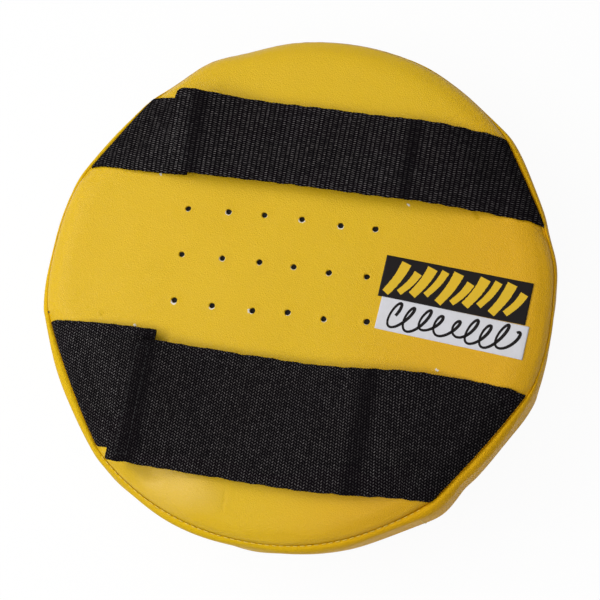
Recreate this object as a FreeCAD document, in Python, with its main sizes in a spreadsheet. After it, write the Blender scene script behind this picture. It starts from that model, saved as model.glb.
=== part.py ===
"""Round kick shield: a padded leatherette disc with a hand strap and a forearm strap.

Millimetres. The strike face lies on z = 0, +Z points out of the back, the straps run along X
and the hand strap is on the +Y side. The origin is the middle of the strike face.
"""

import FreeCAD, Part
import Sketcher

import math
import os
import re

SIZES = {
    # pad outline and height
    "seam_radius": 155,
    "pad_height": 70,
    "rim_drop": 8,
    "rim_lip": 2,
    "rim_run": 12,
    "band_bulge": 5,
    "corner_round": 40,
    # cover
    "cover_thickness": 1.2,
    "seam_allowance": 8,
    "thread_size": 0.8,
    "band_join_turn": 2.7,
    # padding
    "layer_fit": 0.3,
    "impact_thickness": 15,
    "layer_margin": 2,
    # vent holes
    "vent_columns": 6,
    "vent_rows": 3,
    "vent_diameter": 3,
    "board_bore": 4,
    "vent_pitch_along": 23.2,
    "vent_pitch_across": 29,
    "vent_along": -11,
    "vent_across": 8,
    "vent_turn": 1.2,
    # label films
    "film_thickness": 0.25,
    "upper_film_length": 87,
    "upper_film_width": 25,
    "upper_film_along": 97.5,
    "upper_film_across": 8.4,
    "upper_film_turn": -3.4,
    "lower_film_length": 87,
    "lower_film_width": 19.4,
    "lower_film_along": 98.6,
    "lower_film_across": -14.2,
    "lower_film_turn": -3.8,
    # straps
    "strap_offset": 80,
    "webbing_thickness": 1.8,
    "strap_fit": 0.3,
    "shoulder_lift": 3,
    "fold_reach": 70,
    "overlap": 14,
    "hand_width": 50,
    "hand_gap": 13,
    "hand_shift": 6,
    "hand_tab_reach": 76,
    "forearm_width": 75,
    "forearm_gap": 11,
    "forearm_shift": -6,
    "forearm_tab_reach": 73,
    # hook and loop patches
    "patch_length": 11,
    "patch_inset": 3,
    "patch_thickness": 1,
    "patch_edge": 0.5,
    "stitch_inset": 1.5,
    "stitch_size": 0.5,
}

ORIGIN = -1  # the sketcher's number for the horizontal axis, whose start is the sketch origin
X_AXIS = -1
Y_AXIS = -2
START, END, CENTRE = 1, 2, 3

BACK_SEAM = "(pad_height - rim_drop)"
STRIKE_SEAM = "rim_drop"

doc = FreeCAD.newDocument("KickShield")
sheet = doc.addObject("Spreadsheet::Sheet", "sizes")
for row, (alias, number) in enumerate(SIZES.items(), 1):
    sheet.set(f"A{row}", alias)
    sheet.set(f"B{row}", str(number))
    sheet.setAlias(f"B{row}", alias)
doc.recompute()


# ---------------------------------------------------------------- helpers


def formula(text):
    """Spell a formula over the sheet's aliases the way FreeCAD reads it."""
    return re.sub(r"[a-z_]+", lambda word: "sizes." + word[0] if word[0] in SIZES else word[0], text)


def bind(thing, **formulas):
    """Bind properties to formulas; a double underscore stands for a dot."""
    for name, text in formulas.items():
        thing.setExpression(name.replace("__", "."), formula(text))


def new_body(name):
    body = doc.addObject("PartDesign::Body", name)
    body.Label = name
    return body


def new_sketch(body, name, plane="XY_Plane", across="0", up="0", out="0", axis=(0, 0, 1), turn="0"):
    """Sketch on an origin plane, moved along its own axes and turned about one of them."""
    sketch = body.newObject("Sketcher::SketchObject", name)
    support = next(item for item in body.Origin.OriginFeatures if item.Role == plane)
    sketch.AttachmentSupport = [(support, "")]
    sketch.MapMode = "FlatFace"
    sketch.AttachmentOffset = FreeCAD.Placement(
        FreeCAD.Vector(), FreeCAD.Rotation(FreeCAD.Vector(*axis), 0)
    )
    offset = {"Base__x": across, "Base__y": up, "Base__z": out, "Rotation__Angle": turn}
    bind(sketch, **{"AttachmentOffset__" + name: text for name, text in offset.items()})
    return sketch


def constrain(sketch, kind, *places, size=None, start=0):
    """Add a constraint, bound to a formula where it carries a size."""
    if size is None:
        return sketch.addConstraint(Sketcher.Constraint(kind, *places))
    number = sketch.addConstraint(Sketcher.Constraint(kind, *places, start))
    sketch.setExpression(f"Constraints[{number}]", formula(size))
    return number


def rectangle(sketch, length, width, start, centred=True):
    """Rectangle with its centre, or the middle of its lower side, on the sketch origin."""
    long, wide = start
    low = -wide / 2 if centred else 0
    corners = [
        FreeCAD.Vector(x, y)
        for x, y in ((-long / 2, low), (long / 2, low), (long / 2, low + wide), (-long / 2, low + wide))
    ]
    first = sketch.GeometryCount
    for i in range(4):
        sketch.addGeometry(Part.LineSegment(corners[i], corners[(i + 1) % 4]), False)
    for i in range(4):
        constrain(sketch, "Coincident", first + i, END, first + (i + 1) % 4, START)
        constrain(sketch, "Horizontal" if i % 2 == 0 else "Vertical", first + i)
    if centred:
        constrain(sketch, "Symmetric", first, START, first + 2, START, ORIGIN, START)
    else:
        constrain(sketch, "Symmetric", first, START, first, END, ORIGIN, START)
    constrain(sketch, "Distance", first, size=length, start=long)
    constrain(sketch, "Distance", first + 1, size=width, start=wide)


def pad(body, sketch, length, downward=False):
    feature = body.newObject("PartDesign::Pad", sketch.Name + "_pad")
    feature.Profile = sketch
    feature.Reversed = downward
    bind(feature, Length=length)
    return feature


def pocket_through(body, sketch):
    feature = body.newObject("PartDesign::Pocket", sketch.Name + "_cut")
    feature.Profile = sketch
    feature.Type = "ThroughAll"
    feature.Midplane = True
    return feature


def edge_names(shape, wanted):
    return [f"Edge{i}" for i, edge in enumerate(shape.Edges, 1) if wanted(edge)]


def face_names(shape, wanted):
    return [f"Face{i}" for i, face in enumerate(shape.Faces, 1) if wanted(face)]


def is_upright(edge):
    box = edge.BoundBox
    return box.ZLength > 1 and max(box.XLength, box.YLength) < 0.001


def radius_of(edge):
    point = edge.valueAt((edge.FirstParameter + edge.LastParameter) / 2)
    return math.hypot(point.x, point.y)


def lies_at(item, level):
    box = item.BoundBox
    return abs(box.ZMin - level) < 0.001 and abs(box.ZMax - level) < 0.001


def dress(body, kind, base, names, settings=(), **formulas):
    """Fillet, chamfer or hollow the named edges or faces of a feature."""
    feature = body.newObject("PartDesign::" + kind, f"{body.Name}_{kind}_{len(body.Group)}")
    feature.Base = (base, names)
    for name, value in dict(settings).items():
        setattr(feature, name, value)
    bind(feature, **formulas)
    doc.recompute()
    return feature


def hollow(body, base, open_faces):
    """Leave the cover's thickness of a solid, open at the named faces."""
    settings = {"Reversed": True, "Join": "Intersection"}
    return dress(body, "Thickness", base, open_faces, settings, Value="cover_thickness")


# ---------------------------------------------------------------- pad outline


class Strap:
    """Where one strap enters the rim, as numbers for a first placing and as formulas."""

    def __init__(self, name, side):
        self.name = name
        self.side = side
        width = f"{name}_width"
        self.width = width
        high = f"asin((strap_offset + {width} / 2) / seam_radius)"
        low = f"asin((strap_offset - {width} / 2) / seam_radius)"
        self.slant = f"(({high} + {low}) / 2)"
        self.half_angle = f"(({high} - {low}) / 2)"
        self.seam_distance = f"seam_radius * cos({self.half_angle})"
        self.seam_along = f"seam_radius * (cos({high}) + cos({low})) / 2"
        self.centre = f"({side} * strap_offset)"
        self.webbing_gap = f"{name}_gap"
        self.shift = f"{name}_shift"
        self.tab_reach = f"{name}_tab_reach"
        self.tab_rise = f"({name}_gap - webbing_thickness - 2 * patch_thickness - strap_fit)"
        offset, radius = SIZES["strap_offset"], SIZES["seam_radius"]
        self.high_angle = math.asin((offset + SIZES[width] / 2) / radius)
        self.low_angle = math.asin((offset - SIZES[width] / 2) / radius)

    def chord_angles(self, grow):
        """Polar angles of the seam line's inner and outer end on an outline grown by grow."""
        middle = (self.high_angle + self.low_angle) / 2
        radius = SIZES["seam_radius"]
        distance = radius * math.cos((self.high_angle - self.low_angle) / 2)
        half = math.acos((distance + grow) / (radius + grow))
        return middle - half, middle + half


HAND = Strap("hand", 1)
FOREARM = Strap("forearm", -1)


def rim_outline(sketch, grow="0", start=0.0):
    """Closed outline of the pad: four arcs, flattened by a straight line where each strap enters.

    grow is the distance outside the seam line, as a formula, and start the same as a number.
    """
    radius = SIZES["seam_radius"] + start
    hand_low, hand_high = HAND.chord_angles(start)
    fore_low, fore_high = FOREARM.chord_angles(start)
    turn = math.pi
    arcs = (
        (-fore_low, hand_low),
        (hand_high, turn - hand_high),
        (turn - hand_low, turn + fore_low),
        (turn + fore_high, 2 * turn - fore_high),
    )
    circle = Part.Circle(FreeCAD.Vector(), FreeCAD.Vector(0, 0, 1), radius)
    first = sketch.GeometryCount
    right, top, left, bottom = range(first, first + 4)
    for begin, end in arcs:
        sketch.addGeometry(Part.ArcOfCircle(circle, begin, end), False)
    for arc in (right, top, left, bottom):
        constrain(sketch, "Coincident", arc, CENTRE, ORIGIN, START)
    constrain(sketch, "Radius", right, size=f"seam_radius + {grow}", start=radius)
    for arc in (top, left, bottom):
        constrain(sketch, "Equal", right, arc)
    # each seam line runs from its lower to its upper end
    chords = (
        (HAND, hand_low, hand_high, 1, (right, END), (top, START)),
        (HAND, turn - hand_low, turn - hand_high, -1, (left, START), (top, END)),
        (FOREARM, turn + fore_high, turn + fore_low, 1, (bottom, START), (left, END)),
        (FOREARM, -fore_high, -fore_low, -1, (bottom, END), (right, START)),
    )
    for strap, lower, upper, lean, lower_joint, upper_joint in chords:
        ends = [FreeCAD.Vector(radius * math.cos(a), radius * math.sin(a)) for a in (lower, upper)]
        line = sketch.addGeometry(Part.LineSegment(*ends), False)
        constrain(sketch, "Coincident", line, START, *lower_joint)
        constrain(sketch, "Coincident", line, END, *upper_joint)
        direction = ends[1] - ends[0]
        angle = math.atan2(direction.y, direction.x)
        constrain(sketch, "Angle", line, size=f"90 deg + {lean} * {strap.slant}", start=angle)
        distance = strap.seam_distance + f" + {grow}"
        away = abs(ends[0].cross(ends[1]).z) / direction.Length
        constrain(sketch, "Distance", ORIGIN, START, line, size=distance, start=away)


def vent_circles(sketch, diameter):
    """Grid of vent holes round the sketch origin."""
    columns, rows = SIZES["vent_columns"], SIZES["vent_rows"]
    for column in range(columns):
        for row in range(rows):
            along, across = column - (columns - 1) / 2, row - (rows - 1) / 2
            x, y = along * SIZES["vent_pitch_along"], across * SIZES["vent_pitch_across"]
            hole = Part.Circle(FreeCAD.Vector(x, y), FreeCAD.Vector(0, 0, 1), SIZES[diameter] / 2)
            circle = sketch.addGeometry(hole, False)
            constrain(sketch, "Diameter", circle, size=diameter, start=SIZES[diameter])
            place(sketch, circle, "DistanceX", along, "vent_pitch_along")
            place(sketch, circle, "DistanceY", across, "vent_pitch_across")


def place(sketch, circle, kind, steps, pitch):
    """Hold a circle's centre some steps of a pitch from the sketch origin."""
    if steps == 0:
        axis = Y_AXIS if kind == "DistanceX" else X_AXIS
        constrain(sketch, "PointOnObject", circle, CENTRE, axis)
        return
    number = steps * SIZES[pitch]
    constrain(sketch, kind, ORIGIN, START, circle, CENTRE, size=f"{steps} * {pitch}", start=number)


def vent_sketch(body, diameter):
    place_of_grid = {"across": "vent_along", "up": "vent_across", "turn": "vent_turn"}
    sketch = new_sketch(body, body.Name + "_vents", out="pad_height", **place_of_grid)
    vent_circles(sketch, diameter)
    return sketch


# ---------------------------------------------------------------- cover


def panel(name, seam, downward):
    """Leatherette disc with a sloped rim that ends in a short upright lip on the seam."""
    body = new_body(name)
    outline = new_sketch(body, name + "_outline", out=seam)
    rim_outline(outline)
    block = pad(body, outline, "rim_drop", downward)
    doc.recompute()
    rounded = dress(body, "Fillet", block, edge_names(block.Shape, is_upright), Radius="corner_round")
    face_level = 0 if downward else SIZES["pad_height"]
    face_edges = edge_names(rounded.Shape, lambda edge: lies_at(edge, face_level))
    uneven = {"ChamferType": "Two distances"}
    slope = {"Size": "rim_drop - rim_lip", "Size2": "rim_run"}
    sloped = dress(body, "Chamfer", rounded, face_edges, uneven, **slope)
    seam_level = SIZES["rim_drop"] if downward else SIZES["pad_height"] - SIZES["rim_drop"]
    open_side = face_names(sloped.Shape, lambda face: lies_at(face, seam_level))
    hollow(body, sloped, open_side)
    return body


def make_back_panel():
    body = panel("back_panel", BACK_SEAM, downward=False)
    pocket_through(body, vent_sketch(body, "vent_diameter"))
    return body


def make_strike_panel():
    return panel("strike_panel", STRIKE_SEAM, downward=True)


def make_side_band():
    """Band round the edge: rolled outwards from both seams, with an allowance turned in under each."""
    body = new_body("side_band")
    outer = new_sketch(body, "band_outline", out=STRIKE_SEAM)
    rim_outline(outer, "band_bulge", SIZES["band_bulge"])
    block = pad(body, outer, "pad_height - 2 * rim_drop")
    doc.recompute()
    round_size = "corner_round + band_bulge"
    rounded = dress(body, "Fillet", block, edge_names(block.Shape, is_upright), Radius=round_size)
    levels = (SIZES["rim_drop"], SIZES["pad_height"] - SIZES["rim_drop"])
    rims = edge_names(rounded.Shape, lambda edge: any(lies_at(edge, level) for level in levels))
    rolled = dress(body, "Fillet", rounded, rims, Radius="band_bulge")
    inner = new_sketch(body, "allowance_outline", out=STRIKE_SEAM)
    rim_outline(inner, "-seam_allowance", -SIZES["seam_allowance"])
    opened = pocket_through(body, inner)
    doc.recompute()
    inner_radius = SIZES["seam_radius"] - SIZES["seam_allowance"] + 0.1
    wall = face_names(
        opened.Shape,
        lambda face: all(radius_of(edge) < inner_radius for edge in face.Edges),
    )
    hollow(body, opened, wall)
    return body


def make_seam_thread(name, level, downward):
    """Thread lying in the groove between a panel's lip and the band."""
    body = new_body(name)
    ring = new_sketch(body, name + "_ring", out=level)
    rim_outline(ring, "thread_size", SIZES["thread_size"])
    rim_outline(ring)
    pad(body, ring, "thread_size", downward)
    return body


def make_band_join_thread():
    """Upright thread where the two ends of the band meet, just below the forearm strap's corner."""
    box = doc.addObject("Part::Box", "band_join_thread")
    box.Label = "band_join_thread"
    height = "pad_height - 2 * rim_drop - 2 * band_bulge"
    bind(box, Length="thread_size", Width="thread_size", Height=height)
    box.Placement = FreeCAD.Placement(FreeCAD.Vector(), FreeCAD.Rotation(FreeCAD.Vector(0, 0, 1), -1))
    reach = "(seam_radius + band_bulge)"
    half = "thread_size / 2"
    turn = "(asin((strap_offset + forearm_width / 2) / seam_radius) + band_join_turn * 1 deg)"
    bind(
        box,
        Placement__Base__x=f"{reach} * cos({turn}) - {half} * sin({turn})",
        Placement__Base__y=f"-{reach} * sin({turn}) - {half} * cos({turn})",
        Placement__Base__z="rim_drop + band_bulge",
        Placement__Rotation__Angle=f"-{turn}",
    )
    return box


# ---------------------------------------------------------------- padding


def make_layer(name, level, thickness, grow, start):
    body = new_body(name)
    outline = new_sketch(body, name + "_outline", out=level)
    rim_outline(outline, grow, start)
    pad(body, outline, thickness)
    return body


def make_block(name, level, thickness, rounded_level):
    """Foam block that fills the band, with its outer edge rounded to the band's roll."""
    grow = "(band_bulge - cover_thickness - layer_fit)"
    start = SIZES["band_bulge"] - SIZES["cover_thickness"] - SIZES["layer_fit"]
    body = new_body(name)
    outline = new_sketch(body, name + "_outline", out=level)
    rim_outline(outline, grow, start)
    block = pad(body, outline, thickness)
    doc.recompute()
    names = edge_names(block.Shape, is_upright)
    rounded = dress(body, "Fillet", block, names, Radius="corner_round + band_bulge")
    rim = edge_names(rounded.Shape, lambda edge: lies_at(edge, rounded_level))
    dress(body, "Fillet", rounded, rim, Radius="band_bulge")
    return body


def make_padding():
    inset = "-(rim_run + layer_margin)"
    inset_start = -(SIZES["rim_run"] + SIZES["layer_margin"])
    lining = "(cover_thickness + layer_fit)"
    lining_start = SIZES["cover_thickness"] + SIZES["layer_fit"]
    block_floor = SIZES["rim_drop"] + lining_start
    block_top = SIZES["pad_height"] - block_floor
    board = make_layer("stiffener_board", f"{BACK_SEAM} - {lining}", "rim_drop", inset, inset_start)
    pocket_through(board, vent_sketch(board, "board_bore"))
    core_height = f"pad_height - 2 * rim_drop - 2 * {lining} - impact_thickness"
    core_floor = f"rim_drop + {lining} + impact_thickness"
    return [
        board,
        make_block("core_foam", core_floor, core_height, block_top),
        make_block("impact_foam", f"rim_drop + {lining}", "impact_thickness", block_floor),
        make_layer("face_foam", lining, "rim_drop", inset, inset_start),
    ]


# ---------------------------------------------------------------- label


def make_film(name, field):
    """Thin printed film on the back panel, turned about its own centre."""
    body = new_body(name)
    spot = {"across": f"{field}_along", "up": f"{field}_across", "turn": f"{field}_turn"}
    sketch = new_sketch(body, name + "_outline", out="pad_height", **spot)
    length, width = f"{field}_length", f"{field}_width"
    rectangle(sketch, length, width, (SIZES[length], SIZES[width]))
    pad(body, sketch, "film_thickness")
    return body


# ---------------------------------------------------------------- straps


def webbing(name, strap, stations):
    """Loft webbing through stations: distance along X, shift across, height and slant."""
    body = new_body(name)
    sections = []
    for number, (along, shift, height, slant) in enumerate(stations):
        section = new_sketch(
            body,
            f"{name}_station_{number}",
            plane="YZ_Plane",
            across=f"{strap.centre} + {shift}",
            up=height,
            out=along,
            axis=(0, 1, 0),
            turn=slant,
        )
        start = (SIZES[strap.width], SIZES["webbing_thickness"])
        rectangle(section, f"{strap.width} / cos({slant})", "webbing_thickness", start, centred=False)
        sections.append(section)
    loft = body.newObject("PartDesign::AdditiveLoft", name + "_loft")
    loft.Profile = sections[0]
    loft.Sections = sections[1:]
    loft.Ruled = True
    return body


def make_strap(strap):
    """Long strap: from its seam at the right over the fold to its free end above the tab."""
    slant = f"{strap.side} * {strap.slant}"
    seam_height = f"{BACK_SEAM} + rim_lip + strap_fit"
    raised = f"pad_height + {strap.webbing_gap}"
    stations = [
        (strap.seam_along, "0", seam_height, slant),
        (f"{strap.seam_along} - rim_run / cos({strap.slant})", "0", "pad_height + shoulder_lift", slant),
        ("fold_reach", "0", raised, "0"),
        (f"-({strap.tab_reach} + overlap)", strap.shift, raised, "0"),
    ]
    return webbing(strap.name + "_strap", strap, stations)


def make_tab(strap):
    """Short strap: from its seam at the left up to the flat end that carries the loop patch."""
    slant = f"-{strap.side} * {strap.slant}"
    seam_height = f"{BACK_SEAM} + rim_lip + strap_fit"
    raised = f"pad_height + {strap.tab_rise}"
    flat_start = f"-({strap.tab_reach} + patch_length + 2 * patch_edge)"
    stations = [
        (f"-{strap.seam_along}", "0", seam_height, slant),
        (f"-({strap.seam_along} - rim_run / cos({strap.slant}))", "0", "pad_height + shoulder_lift", slant),
        (flat_start, "0", raised, "0"),
        (f"-{strap.tab_reach}", "0", raised, "0"),
    ]
    return webbing(strap.name + "_tab", strap, stations)


def patch_centre(strap):
    return f"-({strap.tab_reach} + patch_edge + patch_length / 2)"


def make_patch(name, strap, shift, level):
    body = new_body(name)
    spot = {"across": patch_centre(strap), "up": f"{strap.centre} + {shift}"}
    sketch = new_sketch(body, name + "_outline", out=level, **spot)
    width = f"{strap.width} - 2 * patch_inset"
    start = (SIZES["patch_length"], SIZES[strap.width] - 2 * SIZES["patch_inset"])
    rectangle(sketch, "patch_length", width, start)
    pad(body, sketch, "patch_thickness")
    return body


def make_patch_thread(name, strap, shift, level):
    """Line of stitches round a patch, on the far side of the webbing that carries it."""
    body = new_body(name)
    spot = {"across": patch_centre(strap), "up": f"{strap.centre} + {shift}"}
    sketch = new_sketch(body, name + "_line", out=level, **spot)
    length, width = SIZES["patch_length"], SIZES[strap.width] - 2 * SIZES["patch_inset"]
    for inset in ("stitch_inset", "stitch_inset + stitch_size"):
        size = (f"patch_length - 2 * ({inset})", f"{strap.width} - 2 * (patch_inset + {inset})")
        shrink = 2 * (SIZES["stitch_inset"] + (SIZES["stitch_size"] if "size" in inset else 0))
        rectangle(sketch, *size, (length - shrink, width - shrink))
    pad(body, sketch, "stitch_size")
    return body


def make_strap_set(strap):
    """Both halves of one strap with the patches that close it."""
    end_shift = strap.shift
    underside = f"pad_height + {strap.webbing_gap}"
    tab_top = f"pad_height + {strap.tab_rise} + webbing_thickness"
    tab_underside = f"pad_height + {strap.tab_rise} - stitch_size"
    name = strap.name
    return [
        make_strap(strap),
        make_patch(name + "_strap_hook", strap, end_shift, f"{underside} - patch_thickness"),
        make_patch_thread(name + "_hook_thread", strap, end_shift, f"{underside} + webbing_thickness"),
        make_tab(strap),
        make_patch(name + "_tab_loop", strap, "0", tab_top),
        make_patch_thread(name + "_loop_thread", strap, "0", tab_underside),
    ]


# ---------------------------------------------------------------- build, check and write

parts = [
    make_back_panel(),
    make_side_band(),
    make_strike_panel(),
    make_seam_thread("back_seam_thread", BACK_SEAM, downward=False),
    make_seam_thread("strike_seam_thread", STRIKE_SEAM, downward=True),
    make_band_join_thread(),
    *make_padding(),
    make_film("label_upper", "upper_film"),
    make_film("label_lower", "lower_film"),
    *make_strap_set(HAND),
    *make_strap_set(FOREARM),
]
doc.recompute()

for item in doc.Objects:
    if "Invalid" in item.State or "Error" in item.State:
        raise RuntimeError(f"{item.Label} failed: {item.State}")
for part in parts:
    if part.Shape.isNull() or not part.Shape.isValid():
        raise RuntimeError(f"{part.Label} has no valid shape")

os.makedirs("parts", exist_ok=True)
for part in parts:
    shape = part.Shape
    shape.exportStep(f"parts/{part.Label}.step")
    box = shape.BoundBox
    corners = [round(value, 2) for value in (box.XMin, box.YMin, box.ZMin, box.XMax, box.YMax, box.ZMax)]
    print(f"{part.Label:20} solids {len(shape.Solids)} volume {shape.Volume:12.1f} box {corners}")
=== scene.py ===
"""Kick shield: a round foam pad in leatherette, with a hand strap and a forearm strap on its back.

Lengths inside the functions are in millimetres; a mesh is scaled to metres as it is made. The
settings that a user would change, and the materials' sizes, are in metres, as Blender keeps them.
"""

import math
from collections import namedtuple
from dataclasses import dataclass
from functools import cache

import bpy
import numpy as np
from mathutils import Matrix, Vector
from mathutils.geometry import delaunay_2d_cdt


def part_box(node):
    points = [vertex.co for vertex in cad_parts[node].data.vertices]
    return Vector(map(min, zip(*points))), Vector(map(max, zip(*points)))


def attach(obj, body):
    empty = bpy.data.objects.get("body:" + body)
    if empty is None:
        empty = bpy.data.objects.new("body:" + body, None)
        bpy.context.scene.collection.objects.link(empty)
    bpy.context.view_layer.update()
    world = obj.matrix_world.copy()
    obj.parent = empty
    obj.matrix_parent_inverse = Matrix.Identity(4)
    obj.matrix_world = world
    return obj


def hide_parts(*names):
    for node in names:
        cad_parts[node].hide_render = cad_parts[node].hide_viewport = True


bl_info = {
    "name": "Kick Shield",
    "version": (1, 0, 0),
    "blender": (4, 5, 0),
    "location": "3D View > Sidebar > Kick Shield",
    "description": "Builds the cover, seams, straps, label and studio of a round kick shield",
    "category": "Add Mesh",
}

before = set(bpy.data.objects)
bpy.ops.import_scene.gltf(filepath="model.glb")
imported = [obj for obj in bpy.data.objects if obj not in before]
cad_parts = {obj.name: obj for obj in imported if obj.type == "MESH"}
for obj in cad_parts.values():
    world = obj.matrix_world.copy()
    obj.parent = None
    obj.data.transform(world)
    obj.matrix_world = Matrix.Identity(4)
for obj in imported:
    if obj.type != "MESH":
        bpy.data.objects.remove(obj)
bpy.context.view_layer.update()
MM = 0.001

# ------------------------------------------------------------------ sizes read from the model


def box(node):
    """Lowest and highest corner of a CAD node, in millimetres."""
    low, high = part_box(node)
    return np.array(low) / MM, np.array(high) / MM


PANEL_LOW, PANEL_HIGH = box("back_panel")
SEAM_RADIUS = (PANEL_HIGH[0] - PANEL_LOW[0]) / 2
SEAM_LEVEL = PANEL_LOW[2]
TOP_LEVEL = PANEL_HIGH[2]
LOWER_SEAM = box("strike_panel")[1][2]
RIM_DROP = TOP_LEVEL - SEAM_LEVEL
WEBBING = box("hand_tab_loop")[0][2] - box("hand_loop_thread")[1][2]
PATCH = box("hand_tab_loop")[1][2] - box("hand_tab_loop")[0][2]
PATCH_GAP = box("hand_strap_hook")[0][2] - box("hand_tab_loop")[1][2]


def straight_seam(tab):
    """Facing and distance of the straight stretch of seam that a strap is sewn into."""
    low, high = box(tab)
    turns = [math.asin(y / SEAM_RADIUS) for y in (low[1], high[1])]
    return sum(turns) / 2, SEAM_RADIUS * math.cos((turns[1] - turns[0]) / 2)


def seat(tab, left, bow, drawn_in=0, askew=0):
    """A strap's stretch of seam: facing, distance, and how far it still bows out."""
    facing, near = straight_seam(tab)
    facing = math.pi - facing if left else facing
    return facing - math.radians(askew), near - drawn_in, bow


HAND_SEAT = seat("hand_tab", False, 0.4, 1.0, 1.0)
HAND_TAB_SEAT = seat("hand_tab", True, 0.4, 1.6, 0.4)
FOREARM_SEAT = seat("forearm_tab", False, 1.6)
FOREARM_TAB_SEAT = seat("forearm_tab", True, 2.2, 0.5, -0.5)
SEATS = (HAND_SEAT, HAND_TAB_SEAT, FOREARM_SEAT, FOREARM_TAB_SEAT)

# ------------------------------------------------------------------ shape helpers


def smooth(t):
    t = np.clip(t, 0, 1)
    return t * t * (3 - 2 * t)


def soft_min(a, b, round_off):
    return (a + b - np.sqrt((a - b) ** 2 + round_off**2)) / 2


def soft_max(a, b, round_off):
    return (a + b + np.sqrt((a - b) ** 2 + round_off**2)) / 2


def mound(x, middle, width):
    return np.exp(-(((x - middle) / width) ** 2))


def turn_between(a, b):
    """Angle from b to a, between half a turn back and half a turn on."""
    return (a - b + math.pi) % math.tau - math.pi


def through(places, values, x):
    """Smooth curve through values at places, read at x; values may be rows of any length."""
    places, values, x = (np.asarray(item, float) for item in (places, values, x))
    slopes = np.gradient(values, places, axis=0)
    x = np.clip(x, places[0], places[-1])
    i = np.clip(np.searchsorted(places, x, side="right") - 1, 0, len(places) - 2)
    step = places[i + 1] - places[i]
    t = (x - places[i]) / step
    if values.ndim > 1:
        t, step = (item.reshape(item.shape + (1,) * (values.ndim - 1)) for item in (t, step))
    return (
        values[i] * (1 + 2 * t) * (1 - t) ** 2
        + values[i + 1] * t * t * (3 - 2 * t)
        + step * (slopes[i] * t * (1 - t) ** 2 - slopes[i + 1] * t * t * (1 - t))
    )


def ripple(points, size, seed, waves=14):
    """Random smooth field of about -1 to 1 over points, with waves of about size."""
    draw = np.random.default_rng(seed)
    points = np.asarray(points, float)
    aim = draw.normal(size=(waves, points.shape[-1]))
    aim /= np.linalg.norm(aim, axis=1, keepdims=True)
    length = size * draw.uniform(0.7, 1.6, waves)
    shift = draw.uniform(0, math.tau, waves)
    total = np.zeros(points.shape[:-1])
    for k in range(waves):
        total += np.cos(points @ (aim[k] * math.tau / length[k]) + shift[k])
    return total / math.sqrt(waves)


def stack(*coordinates):
    return np.stack(np.broadcast_arrays(*coordinates), axis=-1)


def grid_faces(rows, columns, closed=False, start=0):
    """Quads of a grid of points numbered row by row; closed joins its last column to its first."""
    i = np.arange(rows - 1)[:, None]
    j = np.arange(columns if closed else columns - 1)[None, :]
    below, beside = i + 1, (j + 1) % columns
    corners = (i * columns + j, i * columns + beside, below * columns + beside, below * columns + j)
    return stack(*corners).reshape(-1, 4) + start


def fan(start, count, hub):
    """Triangles from a closed ring of points to one point in its middle."""
    step = np.arange(count)
    return stack(start + (step + 1) % count, start + step, hub)


def slab(top, bottom, floored=True):
    """Points and quads of a sheet: its top, the rim down to its bottom, and its underside."""
    rows, columns = top.shape[:2]
    count = rows * columns
    quads = [grid_faces(rows, columns)]
    if floored:
        quads.append(quads[0][:, ::-1] + count)
    rim = np.concatenate(
        [
            np.arange(columns),
            np.arange(1, rows) * columns + columns - 1,
            (rows - 1) * columns + np.arange(columns - 2, -1, -1),
            np.arange(rows - 2, 0, -1) * columns,
        ]
    )
    beside = np.roll(rim, -1)
    quads.append(np.stack([beside, rim, rim + count, beside + count], axis=1))
    return np.concatenate([top.reshape(-1, 3), bottom.reshape(-1, 3)]), np.concatenate(quads)


def new_mesh(name, points, quads=(), triangles=(), flat=None):
    """Mesh from points in millimetres; flat holds each point's place on the cloth, for its weave."""
    mesh = bpy.data.meshes.new(name)
    points = np.asarray(points, float).reshape(-1, 3) * MM
    quads = np.asarray(quads, int).reshape(-1, 4)
    triangles = np.asarray(triangles, int).reshape(-1, 3)
    corners = np.concatenate([quads.ravel(), triangles.ravel()])
    mesh.vertices.add(len(points))
    mesh.vertices.foreach_set("co", points.astype(np.float32).ravel())
    mesh.loops.add(len(corners))
    mesh.loops.foreach_set("vertex_index", corners.astype(np.int32))
    starts = np.concatenate(
        [np.arange(len(quads)) * 4, len(quads) * 4 + np.arange(len(triangles)) * 3]
    )
    mesh.polygons.add(len(starts))
    mesh.polygons.foreach_set("loop_start", starts.astype(np.int32))
    mesh.update(calc_edges=True)
    mesh.polygons.foreach_set("use_smooth", np.ones(len(starts), bool))
    if flat is not None:
        flat = np.asarray(flat, float).reshape(-1, 2)
        layer = mesh.uv_layers.new(name="Cloth")
        layer.uv.foreach_set("vector", (flat[corners] * MM).astype(np.float32).ravel())
    mesh.validate()
    return mesh


def new_object(name, data):
    """Object for a mesh, light or camera, put in the scene."""
    item = bpy.data.objects.new(name, data)
    bpy.context.scene.collection.objects.link(item)
    return item


def new_piece(name, mesh, material, body, replaces=()):
    """Object for a mesh, with its finish, riding on a CAD body."""
    piece = new_object(name, mesh)
    mesh.materials.append(material)
    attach(piece, body)
    if replaces:
        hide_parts(*replaces)
    return piece


def join_parts(parts):
    """One set of points, quads and flat places from several."""
    points, quads, flats, count = [], [], [], 0
    for part_points, part_quads, part_flat in parts:
        points.append(part_points.reshape(-1, 3))
        quads.append(part_quads + count)
        flats.append(part_flat.reshape(-1, 2))
        count += len(points[-1])
    return np.concatenate(points), np.concatenate(quads), np.concatenate(flats)


# ------------------------------------------------------------------ the pad's form


def around(stations, turn):
    """Smooth closed curve through (degrees, value) stations, read at a turn."""
    turns, values = np.array(stations, float).T
    turns = np.concatenate([turns[-2:] - 360, turns, turns[:2] + 360])
    values = np.concatenate([values[-2:], values, values[:2]])
    return through(turns, values, np.degrees((np.asarray(turn) + math.pi) % math.tau - math.pi))


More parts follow.
